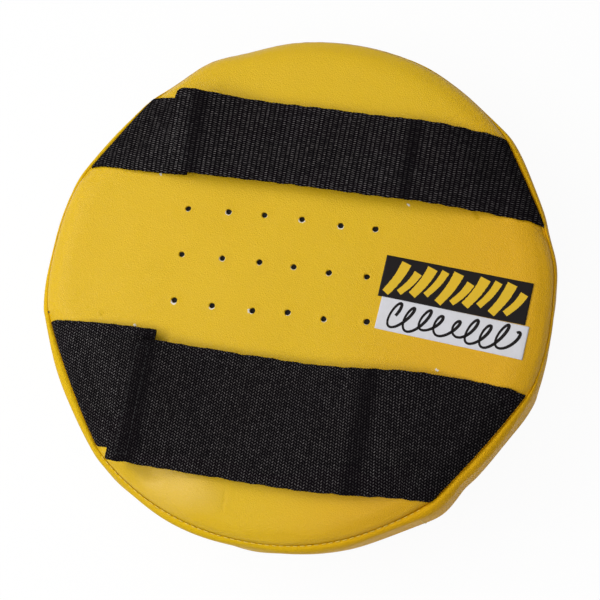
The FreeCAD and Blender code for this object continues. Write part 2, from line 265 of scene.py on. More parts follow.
# how far the sewn outline strays from a circle, at degrees round the pad
OUTLINE = (
    (-180, 0.2), (-170, 0.9), (-130, -0.1), (-110, 0.3), (-90, 0.3), (-70, -0.2),
    (-58, -1.3), (-20, 0.0), (-8, -0.2), (2, -0.8), (12, -0.5), (20, -2.3),
    (32, 0.0), (44, -0.3), (52, 0.2), (65, 1.2), (85, 0.9), (100, 0.1),
    (111, -1.5), (120, 0.2), (130, -2.3), (142, -2.0), (150, -0.9), (165, 0.5),
)
# how far the band swells past the seam, at degrees round the pad
BAND_SWELL = (
    (-180, 4.0), (-165, 4.7), (-152, 7.2), (-140, 6.4), (-128, 4.8), (-120, 5.25),
    (-108, 5.8), (-90, 5.2), (-75, 5.5), (-60, 4.9), (-51, 6.0), (-40, 6.2),
    (-28, 5.4), (-20, 4.0), (-8, 1.9), (4, 2.0), (16, 2.8), (22, 3.5),
    (30, 3.8), (40, 4.1), (48, 2.2), (75, 2.0), (110, 1.2), (133, 1.4),
    (140, 1.4), (150, 3.7), (160, 4.3), (170, 3.6),
)


def bowed(seat, turn):
    """Distance at which a strap's stretch of seam lies, along its facing."""
    facing, near, bow = seat
    half = math.acos(near / SEAM_RADIUS)
    return near + bow * np.maximum(0, 1 - (turn_between(turn, facing) / half) ** 2)


def seam_reach(turn):
    """Distance of the seam from the pad's axis: a sewn circle, pulled straight at the straps."""
    reach = SEAM_RADIUS + around(OUTLINE, turn)
    for seat in SEATS:
        gap = np.cos(turn - seat[0])
        chord = np.where(gap > 0.7, bowed(seat, turn) / np.maximum(gap, 0.7), 2 * SEAM_RADIUS)
        reach = soft_min(reach, chord, 0.8)
    return reach


# width of the sloped rim of both panels
RIM_WIDTH = 15.0


def rim_rise(inset):
    """Rise of a panel from its seam to its flat, at a distance in from the seam."""
    t = np.clip(inset / RIM_WIDTH, 0, 1)
    return RIM_DROP * (1 - (1 - t) ** 2.2) ** 0.8


def pull_at_straps(turn):
    """How far a place on the rim lies within a strap's straight stretch of seam, 0 to 1."""
    share = 0
    for facing, near, _ in SEATS:
        half = math.acos(near / SEAM_RADIUS)
        share = share + smooth((half - np.abs(turn_between(turn, facing))) / math.radians(4) + 0.5)
    return share


def stitch_count():
    return round(math.tau * SEAM_RADIUS * MM / bpy.context.scene.shield_cover.stitch_pitch)


def stitch_pucker(turn, inset):
    """Small dip of the leatherette at each needle hole of the seam."""
    return 0.10 * (0.5 + 0.5 * np.cos(turn * stitch_count())) * np.exp(-((inset / 1.6) ** 2))


# the hollow that the forearm strap's free end has pressed
HOLLOW = (-61.5, -127.5)
# what is pressed into the back panel: x and y of its middle, half width, half height, rise. The
# hollow comes first, then the swells on either side of it
PRESSED = (
    (HOLLOW[0], HOLLOW[1] + 1.5, 7, 6, -2.6),
    (-78, -126, 6, 8, 0.8),
    (-30, -129, 15, 12, 2.4),
)


def panel_shape(x, y):
    """Level of the back panel at a place: its rim, and what use has pressed into it."""
    turn = np.arctan2(y, x)
    inset = seam_reach(turn) - np.hypot(x, y)
    strapped = pull_at_straps(turn) * np.exp(-inset / 9)
    level = SEAM_LEVEL + rim_rise(inset) - 1.7 * strapped * smooth(inset / 1.5)
    level = level + 0.16 * ripple(stack(x, y), size=55, seed=3) * smooth(inset / 20)
    for middle_x, middle_y, wide, tall, rise in PRESSED:
        level = level + rise * mound(x, middle_x, wide) * mound(y, middle_y, tall)
    return level


# ------------------------------------------------------------------ the cover settling on its padding

# the band's section above its middle: share of the swell, level above the seam
BAND_SECTION = (
    (-0.12, -1.6), (-0.03, -1.0), (0.04, -0.2), (0.11, 0.05), (0.25, 0.1), (0.45, -0.3),
    (0.64, -1.4), (0.79, -3.4), (0.88, -6.6), (0.94, -13.0), (0.98, -21.0),
)


def band_section():
    """The band's section from one seam to the other: share of its length, share of swell, level."""
    middle = (SEAM_LEVEL + LOWER_SEAM) / 2
    upper = [(out, SEAM_LEVEL + up) for out, up in BAND_SECTION]
    lower = [(out, 2 * middle - level) for out, level in reversed(upper)]
    line = np.array(upper + [(1.0, middle)] + lower)
    length = np.concatenate([[0], np.cumsum(np.hypot(*(np.diff(line, axis=0) * [5, 1]).T))])
    return length / length[-1], line


# degrees round the pad at which the band's ends are folded, and its belly pushed out at the fold
FOLD_TURN, FOLD_PUSH = -45, 1.6


def band_point(share, turn):
    """Point of the band before it settles, with the fold where its two ends are joined."""
    shares, line = band_section()
    out, level = np.moveaxis(through(shares, line, share), -1, 0)
    roll = mound(out, 0.3, 0.3) * np.where(level > SEAM_LEVEL - 3, 1, 0)
    level = level + roll * (1.1 * pull_at_straps(turn) + 0.1 * ripple(stack(turn), size=0.05, seed=12))
    out = 0.1 + out * (around(BAND_SWELL, turn) + 0.25)
    belly = np.sin(math.pi * np.clip(share, 0, 1)) ** 0.7
    fold = np.degrees(turn_between(turn, math.radians(FOLD_TURN)))
    out = out + belly * (FOLD_PUSH * mound(fold, -4, 5) - FOLD_PUSH * mound(fold, 4.5, 2.4))
    reach = seam_reach(turn) + out
    return stack(reach * np.cos(turn), reach * np.sin(turn), level)


# the coarse cage of the cover that is settled: places round the pad, in from a seam, down the band
CAGE_TURNS = 192
CAGE_INSETS = np.array([0.0, 1.6, 3.6, 6.0, 9.0, 12.5, 17.0, 23.0])
CAGE_SHARES = np.linspace(0.03, 0.97, 15)


def rim_point(inset, turn, back=True):
    """Point of a panel's rim before it settles."""
    reach = seam_reach(turn) - inset
    x, y = reach * np.cos(turn), reach * np.sin(turn)
    level = SEAM_LEVEL + rim_rise(inset) if back else LOWER_SEAM - rim_rise(inset)
    return stack(x, y, level)


@cache
def settle_cover():
    """How far the back rim, the band and the strike rim give on their padding.

    Each is rows of moves round the pad.
    """
    turns = np.arange(CAGE_TURNS) * math.tau / CAGE_TURNS
    back = rim_point(CAGE_INSETS[::-1, None], turns[None, :])
    band = band_point(CAGE_SHARES[:, None], turns[None, :])
    strike = rim_point(CAGE_INSETS[:, None], turns[None, :], back=False)
    shape = np.concatenate([back, band, strike])
    moves = simulate_cover(shape)
    rims = len(CAGE_INSETS)
    return {"back": moves[:rims][::-1], "band": moves[rims:-rims], "strike": moves[-rims:]}


CLOTH = {
    "vertex_group_mass": "held",
    "quality": 6,
    "mass": 0.25,
    "tension_stiffness": 30,
    "compression_stiffness": 30,
    "shear_stiffness": 10,
    "bending_stiffness": 0.3,
    "use_pressure": True,
    "uniform_pressure_force": 4,
    "shrink_min": -0.006,
}
CLOTH_STEPS = 24
# furthest that the cover moves as it settles
MOST_AT_RIM, MOST_AT_BAND = 0.35, 1.3


def simulate_cover(shape):
    """Let the padding's push swell the cage of the cover, as cloth, and read how far it moved.

    The cage is held at both seams and where its rims end on the panels.
    """
    rows, columns = shape.shape[:2]
    points = shape.reshape(-1, 3)
    start = points + 0.12 * stack(*(ripple(points, size=22, seed=seed) for seed in (21, 22, 23)))
    mesh = new_mesh("cover_cage", start, grid_faces(rows, columns, closed=True))
    cage = new_object("cover_cage", mesh)
    held = cage.vertex_groups.new(name="held")
    rims = len(CAGE_INSETS)
    for row in (0, 1, rims - 1, rows - rims, rows - 2, rows - 1):
        held.add(list(range(row * columns, (row + 1) * columns)), 1.0, "REPLACE")
    cloth = cage.modifiers.new("Settle", "CLOTH")
    for field, value in CLOTH.items():
        setattr(cloth.settings, field, value)
    cloth.settings.effector_weights.gravity = 0
    cloth.collision_settings.use_collision = False
    scene = bpy.context.scene
    for step in range(1, CLOTH_STEPS + 1):
        scene.frame_set(step)
    settled = cage.evaluated_get(bpy.context.evaluated_depsgraph_get()).to_mesh()
    ended = np.zeros(len(points) * 3, np.float32)
    settled.vertices.foreach_get("co", ended)
    scene.frame_set(1)
    moves = ended.reshape(-1, 3) / MM - points
    bpy.data.objects.remove(cage)
    bpy.data.meshes.remove(mesh)
    far = np.linalg.norm(moves, axis=1, keepdims=True)
    most = np.full((rows, columns), MOST_AT_RIM)
    most[rims:-rims] = MOST_AT_BAND
    most = most.reshape(-1, 1)
    moves = moves * most * np.tanh(far / most) / np.maximum(far, 1e-6)
    return moves.reshape(shape.shape)


def round_the_pad(moves, turns):
    """Moves known at the cage's turns, read smoothly at finer turns."""
    waves = np.fft.rfft(moves, axis=1) / moves.shape[1]
    waves[:, 1:] *= 2
    orders = np.arange(waves.shape[1])
    waves *= np.exp(-((orders / 26) ** 2))[None, :, None]
    turn = np.exp(1j * orders[:, None] * turns[None, :])
    return np.einsum("rkc,kt->rtc", waves, turn).real


# ------------------------------------------------------------------ finishes


def place(tree, kind, inputs=None, **settings):
    """Add a node, set its fields, and set or link its sockets."""
    item = tree.nodes.new("ShaderNode" + kind)
    for field, value in settings.items():
        setattr(item, field, value)
    for socket, value in (inputs or {}).items():
        if isinstance(value, bpy.types.NodeSocket):
            tree.links.new(value, item.inputs[socket])
        else:
            item.inputs[socket].default_value = value
    return item


def new_effect(name, inputs, outputs):
    """Node group with named number inputs and number outputs; returns its tree and both ends."""
    tree = bpy.data.node_groups.new(name, "ShaderNodeTree")
    for label, value in inputs.items():
        socket = tree.interface.new_socket(name=label, in_out="INPUT", socket_type="NodeSocketFloat")
        socket.default_value = value
    for label in outputs:
        tree.interface.new_socket(name=label, in_out="OUTPUT", socket_type="NodeSocketFloat")
    return tree, tree.nodes.new("NodeGroupInput").outputs, tree.nodes.new("NodeGroupOutput").inputs


def effect(tree, name, **values):
    """Place an effect in a material with its own values, and return its outputs."""
    item = tree.nodes.new("ShaderNodeGroup")
    item.node_tree = bpy.data.node_groups[name]
    for label, value in values.items():
        item.inputs[label.replace("_", " ").title()].default_value = value
    return item.outputs


def math_node(tree, operation, a, b=0.5, c=0.5):
    return place(tree, "Math", {0: a, 1: b, 2: c}, operation=operation).outputs[0]


def reread(tree, value, low, high, to_low=0.0, to_high=1.0, round_off=False):
    """Value read on another scale, and held at its ends."""
    inputs = {"Value": value, "From Min": low, "From Max": high, "To Min": to_low, "To Max": to_high}
    way = "SMOOTHSTEP" if round_off else "LINEAR"
    return place(tree, "MapRange", inputs, interpolation_type=way).outputs["Result"]


def make_grain_effect():
    """Rounded pebbles: their height, and the valleys between them."""
    inputs = {"Grain Size": 0.0007, "Unevenness": 0.5}
    tree, entry, leave = new_effect("Pebble Grain", inputs, ("Height", "Valley"))
    where = place(tree, "TexCoord").outputs["Object"]
    rate = math_node(tree, "DIVIDE", 1.0, entry["Grain Size"])
    drift = place(tree, "TexNoise", {"Vector": where, "Scale": 900.0, "Detail": 1.0}).outputs["Color"]
    drift = place(tree, "VectorMath", {0: drift, "Scale": 0.0005}, operation="SCALE").outputs[0]
    drifted = place(tree, "VectorMath", {0: where, 1: drift}, operation="ADD").outputs[0]
    inputs = {"Vector": drifted, "Scale": rate}
    pebbles = place(tree, "TexVoronoi", inputs, feature="DISTANCE_TO_EDGE").outputs["Distance"]
    crown = reread(tree, pebbles, 0.01, 0.26, round_off=True)
    rough = place(tree, "TexNoise", {"Vector": where, "Scale": rate, "Detail": 2.0}).outputs[0]
    uneven = math_node(tree, "MULTIPLY", rough, entry["Unevenness"])
    tree.links.new(math_node(tree, "ADD", crown, uneven), leave["Height"])
    tree.links.new(math_node(tree, "SUBTRACT", 1.0, crown), leave["Valley"])


def make_mottle_effect():
    """Soft cloudy patches: a mask with set contrast, and the clouds themselves as height."""
    inputs = {"Patch Size": 0.04, "Contrast": 0.5}
    tree, entry, leave = new_effect("Mottle", inputs, ("Mask", "Height"))
    where = place(tree, "TexCoord").outputs["Object"]
    rate = math_node(tree, "DIVIDE", 1.0, entry["Patch Size"])
    inputs = {"Vector": where, "Scale": rate, "Detail": 3.0, "Roughness": 0.55}
    cloud = place(tree, "TexNoise", inputs).outputs[0]
    spread = math_node(tree, "MULTIPLY", entry["Contrast"], 0.4)
    low = math_node(tree, "SUBTRACT", 0.5, spread)
    high = math_node(tree, "ADD", 0.5, spread)
    tree.links.new(reread(tree, cloud, high, low), leave["Mask"])
    tree.links.new(cloud, leave["Height"])


def make_fibre_effect():
    """Fine fibres that run along the cloth: their height, and how light they are."""
    inputs = {"Fibre Size": 0.00016, "Stretch": 9.0}
    tree, entry, leave = new_effect("Yarn Fibres", inputs, ("Height", "Tone"))
    where = place(tree, "UVMap", uv_map="Cloth").outputs[0]
    apart = place(tree, "SeparateXYZ", {0: where}).outputs
    along = math_node(tree, "DIVIDE", apart[0], entry["Stretch"])
    flat = place(tree, "CombineXYZ", {0: along, 1: apart[1]}).outputs[0]
    rate = math_node(tree, "DIVIDE", 1.0, entry["Fibre Size"])
    strands = place(tree, "TexNoise", {"Vector": flat, "Scale": rate, "Detail": 2.0}).outputs[0]
    slow = place(tree, "TexNoise", {"Vector": where, "Scale": 260.0, "Detail": 2.0}).outputs[0]
    tree.links.new(strands, leave["Height"])
    tree.links.new(math_node(tree, "MULTIPLY", strands, slow), leave["Tone"])


def make_weave_effect():
    """Crowns of a ribbed weave over a strap's flat cloth: columns of short slanting floats.

    Pick is the spacing of the columns along the strap and End half the spacing of the floats
    across it. Slant leans the floats of neighbouring columns opposite ways, Shift staggers them,
    Narrow shortens the floats of every other column.
    """
    inputs = {"Pick": 0.003, "End": 0.001, "Slant": 0.4, "Shift": 0.5}
    inputs |= {"Length": 0.8, "Width": 0.6, "Narrow": 0.0}
    tree, entry, leave = new_effect("Weave", inputs, ("Crown", "Column", "Chance"))
    where = place(tree, "UVMap", uv_map="Cloth").outputs[0]
    apart = place(tree, "SeparateXYZ", {0: where}).outputs
    wobble = place(tree, "TexNoise", {"Vector": where, "Scale": 900.0, "Detail": 1.0}).outputs[0]
    wobble = math_node(tree, "SUBTRACT", wobble, 0.5)
    picks = math_node(tree, "DIVIDE", apart[0], entry["Pick"])
    picks = math_node(tree, "MULTIPLY_ADD", wobble, 0.25, picks)
    column = math_node(tree, "ROUND", picks)
    u = math_node(tree, "SUBTRACT", picks, column)
    side = math_node(tree, "PINGPONG", column, 1.0)
    lean = math_node(tree, "MULTIPLY_ADD", side, -2.0, 1.0)
    lean = math_node(tree, "MULTIPLY", lean, entry["Slant"])
    ends = math_node(tree, "DIVIDE", apart[1], entry["End"])
    ends = math_node(tree, "MULTIPLY_ADD", ends, 0.5, math_node(tree, "MULTIPLY", lean, u))
    ends = math_node(tree, "MULTIPLY_ADD", column, entry["Shift"], ends)
    ends = math_node(tree, "MULTIPLY_ADD", wobble, 0.3, ends)
    number = math_node(tree, "FLOOR", ends)
    v = math_node(tree, "SUBTRACT", math_node(tree, "SUBTRACT", ends, number), 0.5)
    long = math_node(tree, "SUBTRACT", 1.0, math_node(tree, "MULTIPLY", side, entry["Narrow"]))
    long = math_node(tree, "MULTIPLY", long, entry["Length"])
    parts = []
    for value, half in ((u, long), (v, entry["Width"])):
        share = math_node(tree, "DIVIDE", math_node(tree, "MULTIPLY", value, 2.0), half)
        share = math_node(tree, "SUBTRACT", 1.0, math_node(tree, "MULTIPLY", share, share))
        parts.append(math_node(tree, "MAXIMUM", share, 0.0))
    tree.links.new(math_node(tree, "MULTIPLY", parts[0], parts[1]), leave["Crown"])
    tree.links.new(side, leave["Column"])
    each = place(tree, "CombineXYZ", {0: column, 1: number}).outputs[0]
    chance = place(tree, "TexWhiteNoise", {"Vector": each}, noise_dimensions="2D")
    tree.links.new(chance.outputs["Value"], leave["Chance"])


EFFECTS = {
    "Pebble Grain": make_grain_effect,
    "Mottle": make_mottle_effect,
    "Yarn Fibres": make_fibre_effect,
    "Weave": make_weave_effect,
}


def make_effects():
    """The effects that more than one finish uses, where they aren't made yet."""
    for name, make in EFFECTS.items():
        if name not in bpy.data.node_groups:
            make()


def as_finish(dress):
    """Give a function that dresses a shader the finish's name and put the made material out.

    A finish is made when it is first asked for, and used again after that.
    """

    def find_or_make(name, *values):
        made = bpy.data.materials.get(name)
        if made is None:
            make_effects()
            made = bpy.data.materials.new(name)
            made.use_nodes = True
            dress(made.node_tree, made.node_tree.nodes["Principled BSDF"].inputs, *values)
        return made

    return find_or_make


def blend_colours(tree, share, a, b):
    """Mix of two colours, each a socket or red, green and blue."""
    inputs = {0: share}
    for number, tone in ((6, a), (7, b)):
        inputs[number] = tone if isinstance(tone, bpy.types.NodeSocket) else (*tone, 1.0)
    return place(tree, "Mix", inputs, data_type="RGBA").outputs[2]


def relief(tree, *layers):
    """Normal from a chain of bumps, each a height, a strength and a depth in millimetres."""
    inputs = {}
    for height, strength, depth in layers:
        inputs |= {"Height": height, "Strength": strength, "Distance": depth * MM}
        inputs["Normal"] = place(tree, "Bump", inputs).outputs[0]
    return inputs["Normal"]


def feed(tree, shader, tone, rough, *layers):
    """Link colour, roughness and relief to a shader."""
    tree.links.new(tone, shader["Base Color"])
    tree.links.new(rough, shader["Roughness"])
    tree.links.new(relief(tree, *layers), shader["Normal"])


@as_finish
def leatherette(tree, shader, specular, rough):
    """Yellow coated fabric: fine pebbles, softly uneven gloss, deeper colour in its valleys.

    Painted shade makes it deeper and more orange towards +x, where the pad lies in shade. Round the hollow
    by the forearm strap it has been rubbed shiny.
    """
    cover = bpy.context.scene.shield_cover
    grain = effect(tree, "Pebble Grain", grain_size=cover.grain_size, unevenness=0.6)
    clouds = effect(tree, "Mottle", patch_size=0.06, contrast=0.8)
    handling = effect(tree, "Mottle", patch_size=0.012, contrast=0.9)
    where = place(tree, "TexCoord").outputs["Object"]
    # painted shade: the colour turns deeper and more orange towards +x and a little towards -y, where the
    # pad lies in shade; random cloudy patches add deeper tone on top
    side = place(tree, "VectorMath", {0: where, 1: (1, -0.25, 0)}, operation="DOT_PRODUCT")
    shade_and_patches = reread(tree, side.outputs["Value"], 0.02, 0.13, 0.0, 0.85, round_off=True)
    shade_and_patches = math_node(tree, "MULTIPLY_ADD", clouds["Mask"], 0.15, shade_and_patches)
    tone = blend_colours(tree, shade_and_patches, cover.leather_colour, cover.leather_shade)
    dark = math_node(tree, "MULTIPLY", grain["Valley"], 0.10)
    tone = blend_colours(tree, dark, tone, cover.leather_valley)
    dull = math_node(tree, "MULTIPLY", grain["Valley"], 0.1)
    dull = math_node(tree, "MULTIPLY_ADD", handling["Mask"], 0.08, dull)
    dull = math_node(tree, "ADD", dull, rough)
    feed(tree, shader, tone, dull, (handling["Height"], 0.5, 0.45), (grain["Height"], 1.0, 0.11))
    shader["Specular IOR Level"].default_value = specular
    # distance from the rubbed patch, which is longer along the strap than across it
    rubbed = np.array([HOLLOW[0] + 17, 1.8 * (HOLLOW[1] - 5), TOP_LEVEL]) * MM
    spot = place(tree, "VectorMath", {0: where, 1: (1, 1.8, 1)}, operation="MULTIPLY")
    away = place(tree, "VectorMath", {0: spot.outputs[0], 1: rubbed}, operation="DISTANCE")
    shiny = reread(tree, away.outputs["Value"], 0.012, 0.036, 0.8, 0.0, round_off=True)
    tree.links.new(shiny, shader["Coat Weight"])
    shader["Coat Roughness"].default_value = 0.42
    tree.links.new(shader["Normal"].links[0].from_socket, shader["Coat Normal"])


def glossy_leatherette():
    return leatherette("Yellow leatherette", 0.26, 0.28)


def matt_leatherette():
    return leatherette("Matt yellow leatherette", 0.10, 0.45)


# How a strap's weave is dressed: its effect's values; how bright the painted glints of its even
# and its odd columns are; and where painted shade dims those glints across it, where the webbing
# bends away from the light beside its patch and near its sewn end: x, half width
WEAVES = {
    "hand": (
        {"slant": 0.3, "shift": 0.5, "length": 1.0, "width": 0.5, "narrow": 0.32},
        (0.805, 1.15),
        ((-73, 8), (60, 6)),
    ),
    "forearm": (
        {"slant": 0.7, "shift": 0.35, "length": 0.74, "width": 0.56, "narrow": 0.0},
        (0.6375, 0.85),
        ((-76, 10), (58, 9)),
    ),
}


@as_finish
def webbing_finish(tree, shader, strap):
    """Black ribbed webbing: shiny filaments on the crowns of the weave, dark between them. The crowns'
    lighter colour is a painted glint, dimmed by painted shade in bands and towards +x.
    """
    straps = bpy.context.scene.shield_straps
    pick, end = (size * MM for size in cloth_sizes(strap))
    weaving, (first, second), pressed = WEAVES[strap.cloth]
    cloth = effect(tree, "Weave", pick=pick, end=end, **weaving)
    fibres = effect(tree, "Yarn Fibres", fibre_size=0.00022, stretch=5.0)
    glint_mottle = effect(tree, "Mottle", patch_size=0.03, contrast=0.7)
    # painted glint: lighter colour on the crowns, brighter on every other column, varied at random per crown
    # and along the fibres
    bright = reread(tree, cloth["Column"], 0.0, 1.0, first, second)
    chance = reread(tree, cloth["Chance"], 0.0, 1.0, 0.3, 1.0)
    raised = math_node(tree, "POWER", cloth["Crown"], 1.3)
    painted_glint = math_node(tree, "MULTIPLY", raised, math_node(tree, "MULTIPLY", bright, chance))
    worn = reread(tree, fibres["Height"], 0.35, 0.65, 0.4, 1.0)
    painted_glint = math_node(tree, "MULTIPLY", painted_glint, worn)
    # painted shade: the glints are dimmed in bands across the strap and towards its +x end, where the
    # webbing bends away from the light
    along = place(tree, "SeparateXYZ", {0: place(tree, "TexCoord").outputs["Object"]}).outputs["X"]
    for middle, half in pressed:
        away = math_node(tree, "ABSOLUTE", math_node(tree, "SUBTRACT", along, middle * MM))
        flat = reread(tree, away, 0.2 * half * MM, half * MM, 0.35, 1.0, round_off=True)
        painted_glint = math_node(tree, "MULTIPLY", painted_glint, flat)
    painted_shade_to_end = reread(tree, along, 0.05, 0.12, 1.0, 0.7, round_off=True)
    painted_glint = math_node(tree, "MULTIPLY", painted_glint, painted_shade_to_end)
    # colour of the painted glint, duller in mottled patches; between the crowns the yarn keeps its own dark
    # colour
    faded = blend_colours(tree, glint_mottle["Mask"], straps.yarn_painted_glint, straps.dull_painted_glint)
    tone = blend_colours(tree, painted_glint, straps.yarn_colour, faded)
    rough = math_node(tree, "MULTIPLY_ADD", painted_glint, -0.3, 0.95)
    feed(tree, shader, tone, rough, (cloth["Crown"], 0.6, 0.25), (fibres["Height"], 0.5, 0.06))
    shader["Specular IOR Level"].default_value = 0.03
    tree.links.new(painted_glint, shader["Coat Weight"])
    shader["Coat Roughness"].default_value = 0.3


@as_finish
def thread_finish(tree, shader, tone, deep):
    """Twisted sewing thread."""
    fibres = effect(tree, "Yarn Fibres", fibre_size=0.00009, stretch=7.0)
    mixed = blend_colours(tree, fibres["Tone"], deep, tone)
    rough = math_node(tree, "MULTIPLY_ADD", fibres["Height"], 0.2, 0.38)
    feed(tree, shader, mixed, rough, (fibres["Height"], 0.5, 0.05))
    shader["Specular IOR Level"].default_value = 0.4


def cover_thread():
    tone = bpy.context.scene.shield_cover.thread_colour
    return thread_finish("Yellow thread", tone, tuple(0.72 * value for value in tone))


def black_thread():
    return thread_finish("Black thread", (0.012, 0.012, 0.013), (0.003, 0.003, 0.0035))


@as_finish
def foam_finish(tree, shader, tone, deep, cell, specular):
    """Open foam: small cells, lighter walls."""
    cells = effect(tree, "Pebble Grain", grain_size=cell, unevenness=1.0)
    clouds = effect(tree, "Mottle", patch_size=0.02, contrast=0.6)
    mixed = blend_colours(tree, cells["Valley"], tone, deep)
    rough = math_node(tree, "MULTIPLY_ADD", clouds["Mask"], 0.1, 0.8)
    feed(tree, shader, mixed, rough, (cells["Height"], 0.8, 0.2))
    shader["Specular IOR Level"].default_value = specular


@as_finish
def film_finish(tree, shader, tone, worn):
    """Printed film, lightly scuffed, with the leatherette's grain showing through it."""
    grain = effect(tree, "Pebble Grain", grain_size=0.0007, unevenness=0.6)
    scuffs = effect(tree, "Mottle", patch_size=0.006, contrast=0.5)
    mixed = blend_colours(tree, math_node(tree, "MULTIPLY", scuffs["Mask"], 0.25), tone, worn)
    rough = math_node(tree, "MULTIPLY_ADD", scuffs["Mask"], 0.12, 0.32)
    feed(tree, shader, mixed, rough, (grain["Height"], 0.3, 0.04))
    shader["Specular IOR Level"].default_value = 0.12


@as_finish
def tape_finish(tree, shader, tone, deep):
    """Hook or loop tape."""
    pile = effect(tree, "Pebble Grain", grain_size=0.0011, unevenness=1.2)
    mixed = blend_colours(tree, pile["Valley"], tone, deep)
    rough = math_node(tree, "MULTIPLY_ADD", pile["Valley"], 0.2, 0.5)
    feed(tree, shader, mixed, rough, (pile["Height"], 0.9, 0.3))
    shader["Specular IOR Level"].default_value = 0.4


@as_finish
def backing_finish(tree, shader):
    """White backing cloth of the leatherette."""
    fibres = effect(tree, "Yarn Fibres", fibre_size=0.0001, stretch=2.0)
    tone = blend_colours(tree, fibres["Height"], (0.55, 0.50, 0.40), (0.85, 0.82, 0.76))
    tree.links.new(tone, shader["Base Color"])
    tree.links.new(relief(tree, (fibres["Height"], 0.7, 0.1)), shader["Normal"])
    shader["Roughness"].default_value = 0.8


# ------------------------------------------------------------------ settings


class ShieldCover(bpy.types.PropertyGroup):
    """Sizes and colours of the cover."""

    leather_colour: bpy.props.FloatVectorProperty(
        name="Leatherette",
        description="Colour of the leatherette",
        subtype="COLOR",
        default=(0.69, 0.438, 0.003),
    )
    # colour of the random deeper patches, and also the painted shade laid on the side towards +x
    leather_shade: bpy.props.FloatVectorProperty(
        name="Unfaded leatherette",
        description="Colour of its deeper patches and of the side that has faded least",
        subtype="COLOR",
        default=(0.69, 0.365, 0.002),
    )
    leather_valley: bpy.props.FloatVectorProperty(
        name="Grain valleys",
        description="Colour between the pebbles of the grain",
        subtype="COLOR",
        default=(0.42, 0.23, 0.002),
    )
    thread_colour: bpy.props.FloatVectorProperty(
        name="Seam thread",
        description="Colour of the seam thread",
        subtype="COLOR",
        default=(0.93, 0.66, 0.09),
    )
    grain_size: bpy.props.FloatProperty(
        name="Grain", description="Width of a pebble", default=0.0011, unit="LENGTH"
    )
    stitch_pitch: bpy.props.FloatProperty(
        name="Stitch pitch",
        description="From one stitch of the seam to the next",
        default=0.00415,
        unit="LENGTH",
    )
    vent_size: bpy.props.FloatProperty(
        name="Vent holes", description="Diameter of a vent hole", default=0.0037, unit="LENGTH"
    )


class ShieldStraps(bpy.types.PropertyGroup):
    """Weave and colours of the straps."""

    yarn_colour: bpy.props.FloatVectorProperty(
        name="Yarn", description="Colour of the yarn", subtype="COLOR", default=(0.0028, 0.0021, 0.0029)
    )
    # colour of the painted glints on the weave's crowns
    yarn_painted_glint: bpy.props.FloatVectorProperty(
        name="Filaments",
        description="Colour of the lighter filaments",
        subtype="COLOR",
        default=(0.205, 0.185, 0.19),
    )
    # duller colour of the painted glints, in mottled patches
    dull_painted_glint: bpy.props.FloatVectorProperty(
        name="Faded yarn",
        description="Colour where the yarn has faded",
        subtype="COLOR",
        default=(0.17, 0.15, 0.14),
    )
    hand_pick: bpy.props.FloatProperty(
        name="Hand strap picks",
        description="From one rib to the next along the hand strap",
        default=0.0028,
        unit="LENGTH",
    )
    hand_end: bpy.props.FloatProperty(
        name="Hand strap yarns",
        description="From one yarn to the next across the hand strap",
        default=0.00066,
        unit="LENGTH",
    )
    forearm_pick: bpy.props.FloatProperty(
        name="Forearm strap picks",
        description="From one rib to the next along the forearm strap",
        default=0.00155,
        unit="LENGTH",
    )
    forearm_end: bpy.props.FloatProperty(
        name="Forearm strap yarns",
        description="From one yarn to the next across the forearm strap",
        default=0.00085,
        unit="LENGTH",
    )
    crown: bpy.props.FloatProperty(
        name="Crown", description="Height of the weave's crowns", default=0.00036, unit="LENGTH"
    )


class ShieldLabel(bpy.types.PropertyGroup):
    """Colours of the label."""

    dark: bpy.props.FloatVectorProperty(
        name="Dark field", description="Upper field", subtype="COLOR", default=(0.007, 0.0048, 0.0048)
    )
    white: bpy.props.FloatVectorProperty(
        name="White field", description="Lower field", subtype="COLOR", default=(0.63, 0.625, 0.66)
    )
    bright: bpy.props.FloatVectorProperty(
        name="Upper mark", description="Upper mark", subtype="COLOR", default=(0.68, 0.43, 0.02)
    )


class ShieldStage(bpy.types.PropertyGroup):
    """Camera and light."""

    lens: bpy.props.FloatProperty(
        name="Lens", description="Focal length in millimetres", default=73.1
    )
    camera_place: bpy.props.FloatVectorProperty(
        name="Camera",
        description="Where the camera stands",
        subtype="TRANSLATION",
        unit="LENGTH",
        default=(0.15889, -0.13846, 0.76706),
    )
    camera_aim: bpy.props.FloatVectorProperty(
        name="Aim",
        description="What the camera looks at",
        subtype="TRANSLATION",
        unit="LENGTH",
        default=(0.0063, -0.00949, 0.062),
    )
    camera_roll: bpy.props.FloatProperty(
        name="Roll",
        description="Turn of the camera about its line of sight",
        unit="ROTATION",
        default=math.radians(10.46),
    )
    window_power: bpy.props.FloatProperty(
        name="Window light", description="Power of the long light on the left", default=8.4
    )
    skylight_power: bpy.props.FloatProperty(
        name="Skylight", description="Power of the wide light overhead", default=28.0
    )
    front_power: bpy.props.FloatProperty(
        name="Front light", description="Power of the light on the near side", default=3.2
    )
    ceiling_level: bpy.props.FloatProperty(
        name="Ceiling", description="Brightness of the studio's ceiling in reflections", default=0.08
    )
    world_level: bpy.props.FloatProperty(
        name="Room light", description="Strength of the light from all round", default=0.10
    )


# ------------------------------------------------------------------ cover pieces

RIM_ROWS = np.concatenate(
    [[0, 0.12, 0.3, 0.6, 1, 1.5, 2.1, 2.8, 3.6, 4.5], np.arange(5.5, 16, 1.0), np.arange(16.5, 35, 1.7)]
)


def rim_turns():
    """Turns round the pad, four to a stitch."""
    count = 4 * stitch_count()
    return np.arange(count) * math.tau / count


def panel_places(insets, turns):
    """Plan of rows that run round the pad, each some way in from the seam."""
    reach = seam_reach(turns) - np.asarray(insets)[:, None]
    return reach * np.cos(turns), reach * np.sin(turns)


